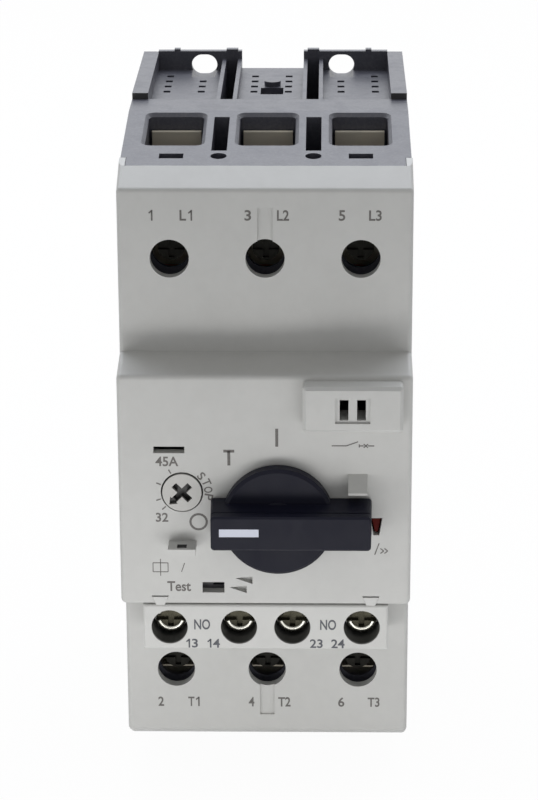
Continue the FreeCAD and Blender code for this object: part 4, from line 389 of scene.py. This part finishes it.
def plated(name, base, rough, stretch, tarnish, dull=0.0):
    """Plated or rolled metal: drawing marks along one axis, tarnish, fine scratches and a dull film."""
    finish = Finish(name)
    drawn = finish.noise(900, detail=3, roughness=0.6, stretch=stretch)
    cloud = finish.noise(260, detail=4, roughness=0.6)
    stain = finish.mask(cloud, 0.45, 0.72)
    body = finish.blend(stain, base, tarnish)
    line = finish.mask(finish.noise(2200, detail=2, roughness=0.5, stretch=stretch), 0.55, 0.75)
    gloss = rough + (drawn - 0.5) * 0.2 + stain * 0.08 + line * 0.05
    normal = finish.bump(drawn + line * 0.4, 0.01 * MM, 0.6)
    return finish.set(Base_Color=body, Metallic=1 - dull, Roughness=gloss, Normal=normal)


def fibre_board(name, base):
    """Pressed fibre: short fibres in two directions on a mottled ground."""
    finish = Finish(name)
    along = finish.noise(1400, detail=4, roughness=0.7, stretch=(1, 0.15, 1))
    across = finish.noise(1400, detail=4, roughness=0.7, stretch=(1, 1, 0.15), shift=(0.02, 0.01, 0))
    weave = along * 0.5 + across * 0.5
    body = finish.ramp(weave, [(0.3, shade(base, 0.7)), (0.55, base), (0.75, shade(base, 1.2))])
    gloss = 0.75 + (weave - 0.5) * 0.2
    return finish.set(Base_Color=body, Roughness=gloss, Normal=finish.bump(weave, 0.03 * MM))


def printed(name, base):
    """Pad-printed ink: slightly uneven in tone and gloss."""
    finish = Finish(name)
    patch = finish.noise(1800, detail=3, roughness=0.6)
    body = finish.blend(finish.mask(patch, 0.35, 0.65), shade(base, 0.85), shade(base, 1.12))
    return finish.set(Base_Color=body, Roughness=0.5 + (patch - 0.5) * 0.15)


def settings():
    """The colours chosen for the scene."""
    return bpy.context.scene.breaker_finishes


def sizes():
    """The sizes chosen for the added pieces."""
    return bpy.context.scene.breaker_sizes


def dress(material, nodes):
    """Give a finish to nodes of the model."""
    for name in nodes:
        slots = frame["nodes"][name].data.materials
        slots.clear()
        slots.append(material)


def nodes_of(slot):
    """The names of the model's nodes in one material slot of the record."""
    return [part["node"] for part in frame["record"]["subparts"] if part["material_slot"] == slot]


def store(mesh_name, shape):
    """A bmesh as a mesh with joined, outward faces."""
    bmesh.ops.remove_doubles(shape, verts=shape.verts, dist=MERGE)
    bmesh.ops.recalc_face_normals(shape, faces=shape.faces)
    mesh = bpy.data.meshes.new(mesh_name)
    shape.to_mesh(mesh)
    shape.free()
    return mesh


def put(name, mesh, material, body):
    """A finished piece that rides on a body of the model."""
    piece = bpy.data.objects.new(name, mesh)
    bpy.context.scene.collection.objects.link(piece)
    mesh.materials.clear()
    mesh.materials.append(material)
    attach(piece, body)
    return piece


def front_of(node):
    """The level of a node's front face."""
    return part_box(node)[0][1]


# Terminal rows, in millimetres: their span up, then each text with its left and right end.
UPPER_ROW = (48.6, 50.6)
UPPER_PRINT = [
    ("1", -21.1, -20.4), ("L", -15.5, -14.3), ("1", -13.9, -13.2), ("3", -3.7, -2.5),
    ("L2", 2.2, 4.4), ("5", 13.4, 14.6), ("L3", 18.9, 21.2),
]
LOWER_ROW = (-49.3, -47.3)
LOWER_PRINT = [
    ("2", -21.1, -20.0), ("T", -15.3, -14.1), ("1", -13.8, -13.1), ("4", -3.6, -2.5),
    ("T2", 2.1, 4.5), ("6", 13.7, 14.9), ("T3", 19.4, 21.7),
]

# Letters round the dial: each with its middle, in millimetres, and its lean, in degrees.
ARC_PRINT = [
    ("S", (-11.7, 2.6), -48),
    ("T", (-10.75, 1.35), -66),
    ("O", (-10.45, -0.1), -84),
    ("P", (-10.4, -1.55), -101),
]

# Lines of the circuit signs and switch positions, from point to point, in millimetres.
SIGN_LINES = [
    ((12.25, 8.6), (14.93, 8.6)),
    ((14.93, 8.6), (17.07, 9.4)),
    ((17.3, 8.3), (17.3, 8.9)),
    ((17.3, 8.6), (18.1, 8.6)),
    ((18.1, 8.25), (18.9, 8.95)),
    ((18.1, 8.95), (18.9, 8.25)),
    ((18.9, 8.6), (20.05, 8.6)),
]
COIL_LINES = [
    ((-20.9, -14.7), (-18.1, -14.7)),
    ((-20.9, -16.5), (-18.1, -16.5)),
    ((-20.9, -16.5), (-20.9, -14.7)),
    ((-18.1, -16.5), (-18.1, -14.7)),
    ((-19.5, -17.3), (-19.5, -13.9)),
    ((-15.6, -16.5), (-15.0, -14.7)),
]
SURGE_LINES = [
    ((20.3, -12.9), (21.1, -10.6)),
    ((21.35, -11.65), (21.95, -12.15)),
    ((21.95, -12.15), (21.35, -12.65)),
    ((22.1, -11.65), (22.7, -12.15)),
    ((22.7, -12.15), (22.1, -12.65)),
]
POSITION_LINES = [
    ((-7.6, 7.5), (-5.6, 7.5)),
    ((-6.6, 4.7), (-6.6, 7.5)),
    ((2.2, 8.4), (2.2, 11.9)),
]

# Other texts, each with its span across and its span up, in millimetres.
FRONT_PRINT = [
    ("45A", (-20.1, -15.9), (4.5, 6.4)),
    ("32", (-20.2, -17.9), (-6.5, -4.7)),
    ("Test", (-18.3, -13.9), (-20.4, -18.4)),
]
AUX_PRINT = [
    ("NO", (-13.4, -10.4), (-28.2, -26.1)),
    ("1", (-14.9, -14.2), (-31.9, -30.1)),
    ("3", (-13.9, -12.7), (-31.9, -30.1)),
    ("1", (-10.9, -10.2), (-31.9, -30.1)),
    ("4", (-9.9, -8.6), (-31.9, -30.1)),
    ("NO", (10.2, 13.2), (-28.2, -26.1)),
    ("23", (8.3, 10.7), (-31.9, -30.1)),
    ("24", (12.3, 14.8), (-31.9, -30.1)),
]


def lettering(text, x, z, level, lean=0):
    """Flat raised letters that fill a span across and a span up, in millimetres; lean in degrees."""
    curve = bpy.data.curves.new("lettering", "FONT")
    curve.body = text
    curve.extrude = sizes().print_rise / 2
    boldness = 0.02
    curve.offset = boldness
    curve.resolution_u = 4
    carrier = bpy.data.objects.new("lettering", curve)
    bpy.context.scene.collection.objects.link(carrier)
    mesh = bpy.data.meshes.new_from_object(carrier.evaluated_get(bpy.context.evaluated_depsgraph_get()))
    bpy.data.objects.remove(carrier)
    low = Vector([min(vertex.co[axis] for vertex in mesh.vertices) for axis in range(3)])
    high = Vector([max(vertex.co[axis] for vertex in mesh.vertices) for axis in range(3)])
    widest = 1.15
    tall = (z[1] - z[0]) * MM / (high.y - low.y)
    wide = min(tall * widest, (x[1] - x[0]) * MM / (high.x - low.x))
    centred = Matrix.Translation((-(low.x + high.x) / 2, -(low.y + high.y) / 2, 0))
    size = Matrix.Diagonal((wide, tall, 1, 1)) @ centred
    stand = Matrix.Rotation(math.pi / 2, 4, "X")
    turn = Matrix.Rotation(math.radians(lean), 4, Vector((0, -1, 0)))
    middle = Vector(((x[0] + x[1]) / 2, 0, (z[0] + z[1]) / 2)) * MM
    spot = Matrix.Translation(middle + Vector((0, level - sizes().print_rise / 2, 0)))
    mesh.transform(spot @ turn @ stand @ size)
    return mesh


def add_strip(shape, start, end, width, level):
    """A thin printed bar between two points of the front, in millimetres."""
    first = Vector((start[0], 0, start[1])) * MM
    last = Vector((end[0], 0, end[1])) * MM
    run = last - first
    rise = sizes().print_rise
    turn = Matrix.Rotation(math.atan2(run.z, run.x), 4, Vector((0, -1, 0)))
    spot = Matrix.Translation((first + last) / 2 + Vector((0, level - rise / 2, 0)))
    size = Matrix.Diagonal((run.length, rise, width, 1))
    bmesh.ops.create_cube(shape, size=1, matrix=spot @ turn @ size)


def add_text(shape, text, x, z, level, lean=0):
    """Printed letters, with the figure one drawn as a stem and its flag."""
    if text != "1":
        add_mesh(shape, lettering(text, x, z, level, lean))
        return
    width = sizes().line_width
    stem = x[1] - width / MM / 2
    flag_top = z[1] - 0.15
    flag_end = z[1] - 0.6
    add_strip(shape, (stem, z[0]), (stem, z[1]), width, level)
    add_strip(shape, (stem, flag_top), (x[0], flag_end), width * 0.9, level)


def add_ring(shape, centre, radius, width, level):
    """A thin printed ring on the front, in millimetres for its centre."""
    rise = sizes().print_rise
    middle = Vector((centre[0] * MM, level, centre[1] * MM))
    corners = []
    for across, depth in ((-0.5, 0), (0.5, 0), (0.5, -1), (-0.5, -1)):
        corners.append(shape.verts.new(middle + Vector((radius + width * across, depth * rise, 0))))
    edges = [shape.edges.new(pair) for pair in zip(corners, corners[1:] + corners[:1])]
    turn_round(shape, [*corners, *edges], middle, steps=64)


def turn_round(shape, profile, middle, steps):
    """Turn a profile once round an axis along Y."""
    bmesh.ops.spin(
        shape, geom=profile, cent=middle, axis=(0, 1, 0), angle=math.tau, steps=steps, use_merge=True
    )


def add_mesh(shape, mesh):
    """Move a mesh into a bmesh."""
    shape.from_mesh(mesh)
    bpy.data.meshes.remove(mesh)


def add_loop(shape, segments, radius, spot):
    """A circle's vertices and edges, ready to be spun."""
    made = bmesh.ops.create_circle(shape, segments=segments, radius=radius, matrix=spot)
    return [*made["verts"], *{edge for vertex in made["verts"] for edge in vertex.link_edges}]


def close_ends(shape):
    """Close the open ends of spun tubes."""
    bmesh.ops.holes_fill(shape, edges=[edge for edge in shape.edges if edge.is_boundary])


def smooth_sides(mesh):
    """Smooth a tube's sides and keep its ends flat."""
    for face in mesh.polygons:
        face.use_smooth = len(face.vertices) == 4


class BREAKER_OT_mouldings(bpy.types.Operator):
    """Finish the cover, the contact block and the dark housings"""

    bl_idname = "breaker.mouldings"
    bl_label = "Housing mouldings"

    def execute(self, context):
        shades = settings()
        cover = moulding("cover_moulding", shades.cover, rough=0.5, grime_and_painted_shade=wire_hole_painted_shade)
        dress(cover, nodes_of("cover_light"))
        block = moulding("block_moulding", shades.auxiliary, rough=0.48, grime_and_painted_shade=block_hole_painted_shade)
        dress(block, nodes_of("aux_light"))
        dark = moulding(
            "housing_moulding",
            shades.housing,
            rough=0.4,
            grain=1900,
            grain_depth=0.02,
            mottle=0.07,
            specular=0.55,
            dust=0.16,
            grime_and_painted_shade=seam_grime,
        )
        dress(dark, nodes_of("housing_dark"))
        return {"FINISHED"}


class BREAKER_OT_controls(bpy.types.Operator):
    """Finish the handle, its marker, the dial, the flag and the small slides"""

    bl_idname = "breaker.controls"
    bl_label = "Handle and controls"

    def execute(self, context):
        shades = settings()
        handle = moulding(
            "handle_moulding",
            shades.handle,
            rough=0.46,
            grain=2200,
            grain_depth=0.015,
            mottle=0.08,
            specular=0.15,
        )
        dress(handle, nodes_of("handle_black"))
        marker = moulding(
            "marker_inlay", shades.marker, rough=0.35, grain=3000, grain_depth=0.004, mottle=0.03
        )
        dress(marker, nodes_of("marker_white"))
        dial = moulding(
            "dial_moulding", shades.dial, rough=0.45, grain=3000, grain_depth=0.008, grime_and_painted_shade=dial_painted_shade
        )
        dress(dial, nodes_of("dial_grey"))
        flag = moulding(
            "flag_moulding",
            shades.flag,
            rough=0.5,
            grain=3000,
            grain_depth=0.006,
            mottle=0.06,
            specular=0.08,
        )
        dress(flag, nodes_of("flag_red"))
        dress(moulding("inner_moulding", shades.inner, rough=0.5), nodes_of("inner_plastic"))
        dress(moulding("latch_moulding", shades.latch, rough=0.45), nodes_of("latch_plastic"))
        dress(fibre_board("fibre_board", shades.fibre), nodes_of("fibre"))
        return {"FINISHED"}


class BREAKER_OT_metals(bpy.types.Operator):
    """Finish the steel, plated, copper and bimetal pieces"""

    bl_idname = "breaker.metals"
    bl_label = "Metal pieces"

    def execute(self, context):
        shades = settings()
        turned = (1, 0.3, 1)
        rolled = (1, 1, 0.1)
        punched = plated("punched_steel", shades.steel, 0.38, rolled, shade(shades.steel, 0.7))
        dress(punched, nodes_of("mechanism_steel"))
        wire = plated("spring_wire", shades.spring, 0.3, (0.2, 1, 1), shade(shades.spring, 0.75))
        dress(wire, nodes_of("spring_steel"))
        passivated = plated("screw_steel", shades.screw, 0.24, turned, shade(shades.screw, 0.55))
        dress(passivated, ["aux_screws"])
        filmed = tint(shades.zinc, FILM, 0.5)
        zinc = plated("plated_steel", shades.zinc, 0.45, (1, 0.15, 1), filmed, dull=0.45)
        dress(zinc, nodes_of("zinc_steel"))
        strip = plated("copper_strip", shades.copper, 0.32, (1, 0.12, 1), shade(shades.copper, 0.6))
        dress(strip, nodes_of("copper"))
        bimetal = plated("bimetal_strip", shades.bimetal, 0.4, rolled, shade(shades.bimetal, 0.65))
        dress(bimetal, nodes_of("bimetal"))
        worn = shade(shades.handle, 0.8)
        blackened = plated("blackened_steel", shades.handle, 0.45, turned, worn, dull=0.6)
        dress(blackened, ["handle_shaft"])
        # Painted shade: the terminal screws take the screw colour at a third of its strength so that their
        # deep holes read black.
        dark = shade(shades.screw, 0.3)
        terminal_painted_shade = plated("terminal_steel_painted_shade", dark, 0.55, turned, shade(shades.screw, 0.2), dull=0.5)
        dress(terminal_painted_shade, [name for name in nodes_of("screw_steel") if name != "aux_screws"])
        return {"FINISHED"}


class BREAKER_OT_springs(bpy.types.Operator):
    """Wind the springs from round wire"""

    bl_idname = "breaker.springs"
    bl_label = "Springs"

    def execute(self, context):
        thin = sizes().thin_wire
        thick = sizes().thick_wire
        latch = self.wind("latch_spring", "housing", [0], "Z", radius=1.3 * MM, wire=thin, turns=10)
        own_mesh(latch)
        self.wind("main_spring", "handle", [HANDLE_X], "Y", radius=6.2 * MM, wire=thick, turns=5)
        self.wind("contact_springs", "carrier", POLES_X, "Z", radius=2.6 * MM, wire=thin, turns=3)
        return {"FINISHED"}

    def wind(self, node, body, middles, axis, radius, wire, turns):
        """Coils in place of a node's square-wire ones, round the given places across."""
        low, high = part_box(node)
        along = "XYZ".index(axis)
        shape = bmesh.new()
        for x in middles:
            middle = (low + high) / 2
            middle.x = x * MM
            rise = high[along] - low[along] - wire * 2
            self.add_coil(shape, middle, axis, rise, radius, wire, turns)
        close_ends(shape)
        mesh = store(f"round_{node}", shape)
        smooth_sides(mesh)
        piece = put(f"round_{node}", mesh, bpy.data.materials["spring_wire"], body)
        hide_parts(node)
        return piece

    def add_coil(self, shape, middle, axis, rise, radius, wire, turns):
        """One coil of round wire, from its lower or front end on."""
        along = Vector((0, 1, 0)) if axis == "Y" else Vector((0, 0, 1))
        start = middle - along * rise / 2
        upright = Matrix.Rotation(math.pi / 2, 4, "X") if axis == "Z" else Matrix.Identity(4)
        spot = Matrix.Translation(start + Vector((radius, 0, 0))) @ upright
        loop = add_loop(shape, segments=10, radius=wire, spot=spot)
        steps_per_turn = 28
        steps = turns * steps_per_turn
        climb = along * rise / steps
        bmesh.ops.spin(
            shape, geom=loop, cent=start, axis=along, dvec=climb, angle=math.tau * turns, steps=steps
        )


class BREAKER_OT_long_screws(bpy.types.Operator):
    """Turn the long housing screws with rounded heads and cross recesses"""

    bl_idname = "breaker.long_screws"
    bl_label = "Long screws"

    def execute(self, context):
        lower_tip = -78.5
        upper_tip = -80.0
        shape = bmesh.new()
        for x in LONG_SCREWS_X:
            for z, tip in ((-LONG_SCREWS_Z, lower_tip), (LONG_SCREWS_Z, upper_tip)):
                self.add_screw(shape, Vector((x, 0, z)) * MM, tip)
        mesh = store("turned_housing_screws", shape)
        plating = bpy.data.materials["plated_steel"]
        piece = put("turned_housing_screws", mesh, plating, "housing")
        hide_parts("housing_screws")
        return {"FINISHED"}

    def add_screw(self, shape, place, tip):
        """One screw along Y: its turned side, the head's face round the recess, and the recess."""
        head = [(2.35, -0.3), (2.6, -0.4), (2.7, -0.6), (2.7, -2.1)]
        shank = [(1.45, -2.1), (1.45, tip + 0.6), (0.9, tip), (0, tip)]
        side = head + shank
        points = [shape.verts.new(place + Vector((radius, level, 0)) * MM) for radius, level in side]
        edges = [shape.edges.new(pair) for pair in zip(points, points[1:])]
        before = set(shape.edges) - set(edges)
        turn_round(shape, [*points, *edges], place, steps=40)
        bmesh.ops.remove_doubles(shape, verts=shape.verts, dist=MERGE)
        mouth = [edge for edge in shape.edges if edge.is_boundary and edge not in before]
        arm = sizes().recess_arm
        half = sizes().recess_half
        quarter = [(arm, -half), (arm, half), (half, half)]
        outline = []
        for turn in range(4):
            spin = Matrix.Rotation(turn * math.pi / 2, 2)
            outline += [spin @ Vector(corner) for corner in quarter]
        level = side[0][1] * MM
        corners = [shape.verts.new(place + Vector((across, level, up))) for across, up in outline]
        cross = [shape.edges.new((first, last)) for first, last in zip(corners, corners[1:] + corners[:1])]
        bmesh.ops.triangle_fill(shape, edges=[*mouth, *cross], use_beauty=True)
        sunk = bmesh.ops.extrude_edge_only(shape, edges=cross)["geom"]
        floor = [item for item in sunk if isinstance(item, bmesh.types.BMVert)]
        rim = [item for item in sunk if isinstance(item, bmesh.types.BMEdge)]
        bmesh.ops.translate(shape, verts=floor, vec=(0, -sizes().recess_depth, 0))
        bmesh.ops.triangle_fill(shape, edges=rim, use_beauty=True)


class BREAKER_OT_screw_rims(bpy.types.Operator):
    """Round the rims of the contact block's screw heads"""

    bl_idname = "breaker.screw_rims"
    bl_label = "Screw rims"

    def execute(self, context):
        shape = bmesh.new()
        sunk = 0.3
        level = front_of("aux_screws") + sizes().rim_round * sunk
        for x in BLOCK_SCREWS_X:
            self.add_rim(shape, Vector((x * MM, level, BLOCK_SCREWS_Z * MM)))
        shades = settings()
        polished = plated("polished_rim", shades.rim, 0.24, (1, 0.3, 1), shade(shades.rim, 0.7))
        mesh = store("aux_screw_rims", shape)
        smooth_sides(mesh)
        put("aux_screw_rims", mesh, polished, "housing")
        return {"FINISHED"}

    def add_rim(self, shape, middle):
        """Two arcs, open where the driver's slot runs out at the sides."""
        half_gap = math.radians(14)
        arc = math.pi - half_gap * 2
        flatness = 0.6
        across = Matrix.Translation((sizes().rim_radius, 0, 0)) @ Matrix.Diagonal((1, flatness, 1, 1))
        for side in (0, math.pi):
            turn = Matrix.Translation(middle) @ Matrix.Rotation(side + half_gap, 4, "Y")
            loop = add_loop(shape, segments=14, radius=sizes().rim_round, spot=turn @ across)
            bmesh.ops.spin(shape, geom=loop, cent=middle, axis=(0, 1, 0), angle=arc, steps=22)
        close_ends(shape)


class BREAKER_OT_terminal_print(bpy.types.Operator):
    """Print the terminal numbers on the upper and lower faces"""

    bl_idname = "breaker.terminal_print"
    bl_label = "Terminal numbers"

    def execute(self, context):
        ink = printed("legend_ink", settings().ink)
        self.print_row("upper_terminal_print", UPPER_PRINT, UPPER_ROW, UPPER_FACE, ink)
        self.print_row("lower_terminal_print", LOWER_PRINT, LOWER_ROW, LOWER_FACE, ink)
        return {"FINISHED"}

    def print_row(self, name, row, z, level, ink):
        """One row of terminal numbers as a piece."""
        shape = bmesh.new()
        for text, left, right in row:
            add_text(shape, text, (left, right), z, level)
        put(name, store(name, shape), ink, "housing")


class BREAKER_OT_front_print(bpy.types.Operator):
    """Print the positions, the test word and the signs on the central face"""

    bl_idname = "breaker.front_print"
    bl_label = "Front legends"

    def execute(self, context):
        ink = bpy.data.materials["legend_ink"]
        width = sizes().line_width
        half_letter = (0.6, 0.8)
        shape = bmesh.new()
        for text, x, z in FRONT_PRINT:
            add_text(shape, text, x, z, CENTRAL_FACE)
        for text, place, lean in ARC_PRINT:
            x, z = [(middle - half, middle + half) for middle, half in zip(place, half_letter)]
            add_text(shape, text, x, z, CENTRAL_FACE, lean)
        add_ring(shape, OFF_RING, sizes().ring_radius, width * 1.4, CENTRAL_FACE)
        signs = ((POSITION_LINES, 1.8), (SIGN_LINES, 0.7), (SURGE_LINES, 0.7), (COIL_LINES, 0.5))
        for lines, share in signs:
            for start, end in lines:
                add_strip(shape, start, end, width * share, CENTRAL_FACE)
        put("front_print", store("front_print", shape), ink, "housing")
        return {"FINISHED"}


class BREAKER_OT_dial_print(bpy.types.Operator):
    """Print the ticks round the setting dial"""

    bl_idname = "breaker.dial_print"
    bl_label = "Dial scale"

    def execute(self, context):
        ink = bpy.data.materials["legend_ink"]
        centre = Vector(DIAL_CENTRE)
        width = sizes().line_width * 0.8
        inner = sizes().tick_start / MM
        outer = inner + sizes().tick_length / MM
        shape = bmesh.new()
        for degrees in TICK_DEGREES:
            aim = Vector((math.cos(math.radians(degrees)), math.sin(math.radians(degrees))))
            add_strip(shape, centre + aim * inner, centre + aim * outer, width, CENTRAL_FACE)
        put("dial_print", store("dial_print", shape), ink, "housing")
        return {"FINISHED"}


class BREAKER_OT_block_print(bpy.types.Operator):
    """Print the contact numbers on the auxiliary block"""

    bl_idname = "breaker.block_print"
    bl_label = "Contact numbers"

    def execute(self, context):
        ink = printed("block_ink", settings().block_ink)
        shape = bmesh.new()
        for text, x, z in AUX_PRINT:
            add_text(shape, text, x, z, front_of("aux_block_case"))
        put("block_print", store("block_print", shape), ink, "housing")
        return {"FINISHED"}


class BREAKER_OT_studio(bpy.types.Operator):
    """Set the floor, the lights, the surroundings and the camera"""

    bl_idname = "breaker.studio"
    bl_label = "Studio"

    def execute(self, context):
        studio = context.scene.breaker_studio
        self.lay_floor(studio)
        cool = (0.88, 0.92, 1.0)
        warm = (1.0, 0.99, 0.98)
        body = Vector((0, -0.05, 0))
        screws = Vector((0, -0.08, -0.045))
        self.light("back_light", Vector((0.0, 0.75, 0.5)), body, (1.2, 0.7), studio.back_power, cool)
        self.light("top_light", Vector((0.0, 0.35, 0.65)), body, (1.2, 0.6), studio.top_power, cool)
        self.light("low_light", Vector((-0.02, -0.2, -0.05)), screws, (0.34, 0.03), studio.low_power, warm)
        self.surround(context, studio)
        self.aim_camera(context)
        context.scene.view_settings.view_transform = "Standard"
        return {"FINISHED"}

    def lay_floor(self, studio):
        """A pale floor below the part, seen nearly as white as the surroundings."""
        half_width = 6
        tone = 0.9
        glow_share = 0.97
        shape = bmesh.new()
        spot = Matrix.Translation((0, 0, CAD_BOX[0][2] - studio.floor_gap))
        bmesh.ops.create_grid(shape, x_segments=1, y_segments=1, size=half_width, matrix=spot)
        floor = bpy.data.objects.new("floor", store("floor", shape))
        bpy.context.scene.collection.objects.link(floor)
        material = bpy.data.materials.new("pale_floor")
        material.use_nodes = True
        tree = material.node_tree
        tree.nodes.clear()
        paint = tree.nodes.new("ShaderNodeBsdfDiffuse")
        paint.inputs["Color"].default_value = (tone, tone, tone, 1)
        glow = tree.nodes.new("ShaderNodeEmission")
        mixed = tree.nodes.new("ShaderNodeMixShader")
        output = tree.nodes.new("ShaderNodeOutputMaterial")
        share = tree.nodes.new("ShaderNodeMath")
        share.operation = "MULTIPLY"
        share.inputs[1].default_value = glow_share
        tree.links.new(self.seen_rays(tree, ["Is Glossy Ray"]), share.inputs[0])
        tree.links.new(share.outputs[0], mixed.inputs[0])
        tree.links.new(paint.outputs[0], mixed.inputs[1])
        tree.links.new(glow.outputs[0], mixed.inputs[2])
        tree.links.new(mixed.outputs[0], output.inputs["Surface"])
        floor.data.materials.append(material)

    def seen_rays(self, tree, kinds):
        """1 for rays from the camera and for the other kinds named, else 0."""
        path = tree.nodes.new("ShaderNodeLightPath")
        seen = path.outputs["Is Camera Ray"]
        for kind in kinds:
            either = tree.nodes.new("ShaderNodeMath")
            either.operation = "MAXIMUM"
            tree.links.new(seen, either.inputs[0])
            tree.links.new(path.outputs[kind], either.inputs[1])
            seen = either.outputs[0]
        return seen

    def light(self, name, place, aim, spread, watts, hue):
        """A rectangular light that the camera doesn't see."""
        lamp = bpy.data.lights.new(name, "AREA")
        lamp.shape = "RECTANGLE"
        lamp.size, lamp.size_y = spread
        lamp.energy = watts
        lamp.color = hue
        holder = bpy.data.objects.new(name, lamp)
        bpy.context.scene.collection.objects.link(holder)
        holder.location = place
        holder.visible_camera = False
        holder.rotation_euler = (aim - place).to_track_quat("-Z", "Y").to_euler()

    def surround(self, context, studio):
        """Soft light from all round, seen as plain white."""
        world = bpy.data.worlds.new("white_surroundings")
        world.use_nodes = True
        tree = world.node_tree
        tree.nodes.clear()
        soft = tree.nodes.new("ShaderNodeBackground")
        soft.inputs["Strength"].default_value = studio.world
        white = tree.nodes.new("ShaderNodeBackground")
        white.inputs["Strength"].default_value = 1.0
        for background in (soft, white):
            background.inputs["Color"].default_value = (1, 1, 1, 1)
        mixed = tree.nodes.new("ShaderNodeMixShader")
        output = tree.nodes.new("ShaderNodeOutputWorld")
        seen = self.seen_rays(tree, ["Is Glossy Ray", "Is Transmission Ray"])
        tree.links.new(seen, mixed.inputs[0])
        tree.links.new(soft.outputs[0], mixed.inputs[1])
        tree.links.new(white.outputs[0], mixed.inputs[2])
        tree.links.new(mixed.outputs[0], output.inputs["Surface"])
        context.scene.world = world

    def aim_camera(self, context):
        """The camera where the photograph was taken from."""
        tilt = math.radians(CAMERA_TILT)
        yaw = math.radians(CAMERA_YAW)
        roll = math.radians(CAMERA_ROLL)
        ahead = Vector((math.sin(yaw) * math.cos(tilt), math.cos(yaw) * math.cos(tilt), -math.sin(tilt)))
        right = ahead.cross(Vector((0, 0, 1))).normalized()
        above = right.cross(ahead)
        across = right * math.cos(roll) + above * math.sin(roll)
        upward = above * math.cos(roll) - right * math.sin(roll)
        lens = bpy.data.cameras.new("photo_camera")
        lens.sensor_fit = "VERTICAL"
        lens.sensor_height = 36
        lens.lens = FOCAL_PIXELS * lens.sensor_height / IMAGE_HEIGHT
        camera = bpy.data.objects.new("photo_camera", lens)
        context.scene.collection.objects.link(camera)
        turn = Matrix((across, upward, -ahead)).transposed().to_4x4()
        camera.matrix_world = Matrix.Translation(CAMERA_PLACE) @ turn
        context.scene.camera = camera


STEPS = (
    BREAKER_OT_mouldings,
    BREAKER_OT_controls,
    BREAKER_OT_metals,
    BREAKER_OT_springs,
    BREAKER_OT_long_screws,
    BREAKER_OT_screw_rims,
    BREAKER_OT_terminal_print,
    BREAKER_OT_front_print,
    BREAKER_OT_dial_print,
    BREAKER_OT_block_print,
    BREAKER_OT_studio,
)


class BREAKER_PT_steps(bpy.types.Panel):
    """The breaker's finishing steps"""

    bl_label = "Breaker"
    bl_idname = "BREAKER_PT_steps"
    bl_space_type = "VIEW_3D"
    bl_region_type = "UI"
    bl_category = "Breaker"

    def draw(self, context):
        for step in STEPS:
            self.layout.operator(step.bl_idname)


GROUPS = (
    ("breaker_finishes", BreakerFinishes),
    ("breaker_sizes", BreakerSizes),
    ("breaker_studio", BreakerStudio),
)


def register():
    for name, group in GROUPS:
        bpy.utils.register_class(group)
        setattr(bpy.types.Scene, name, PointerProperty(type=group))
    for step in STEPS:
        bpy.utils.register_class(step)
    bpy.utils.register_class(BREAKER_PT_steps)


def unregister():
    bpy.utils.unregister_class(BREAKER_PT_steps)
    for step in reversed(STEPS):
        bpy.utils.unregister_class(step)
    for name, group in reversed(GROUPS):
        delattr(bpy.types.Scene, name)
        bpy.utils.unregister_class(group)


def main():
    register()
    bpy.ops.breaker.mouldings()
    bpy.ops.breaker.controls()
    bpy.ops.breaker.metals()
    bpy.ops.breaker.springs()
    bpy.ops.breaker.long_screws()
    bpy.ops.breaker.screw_rims()
    bpy.ops.breaker.terminal_print()
    bpy.ops.breaker.front_print()
    bpy.ops.breaker.dial_print()
    bpy.ops.breaker.block_print()
    bpy.ops.breaker.studio()


if __name__ == "__main__":
    main()
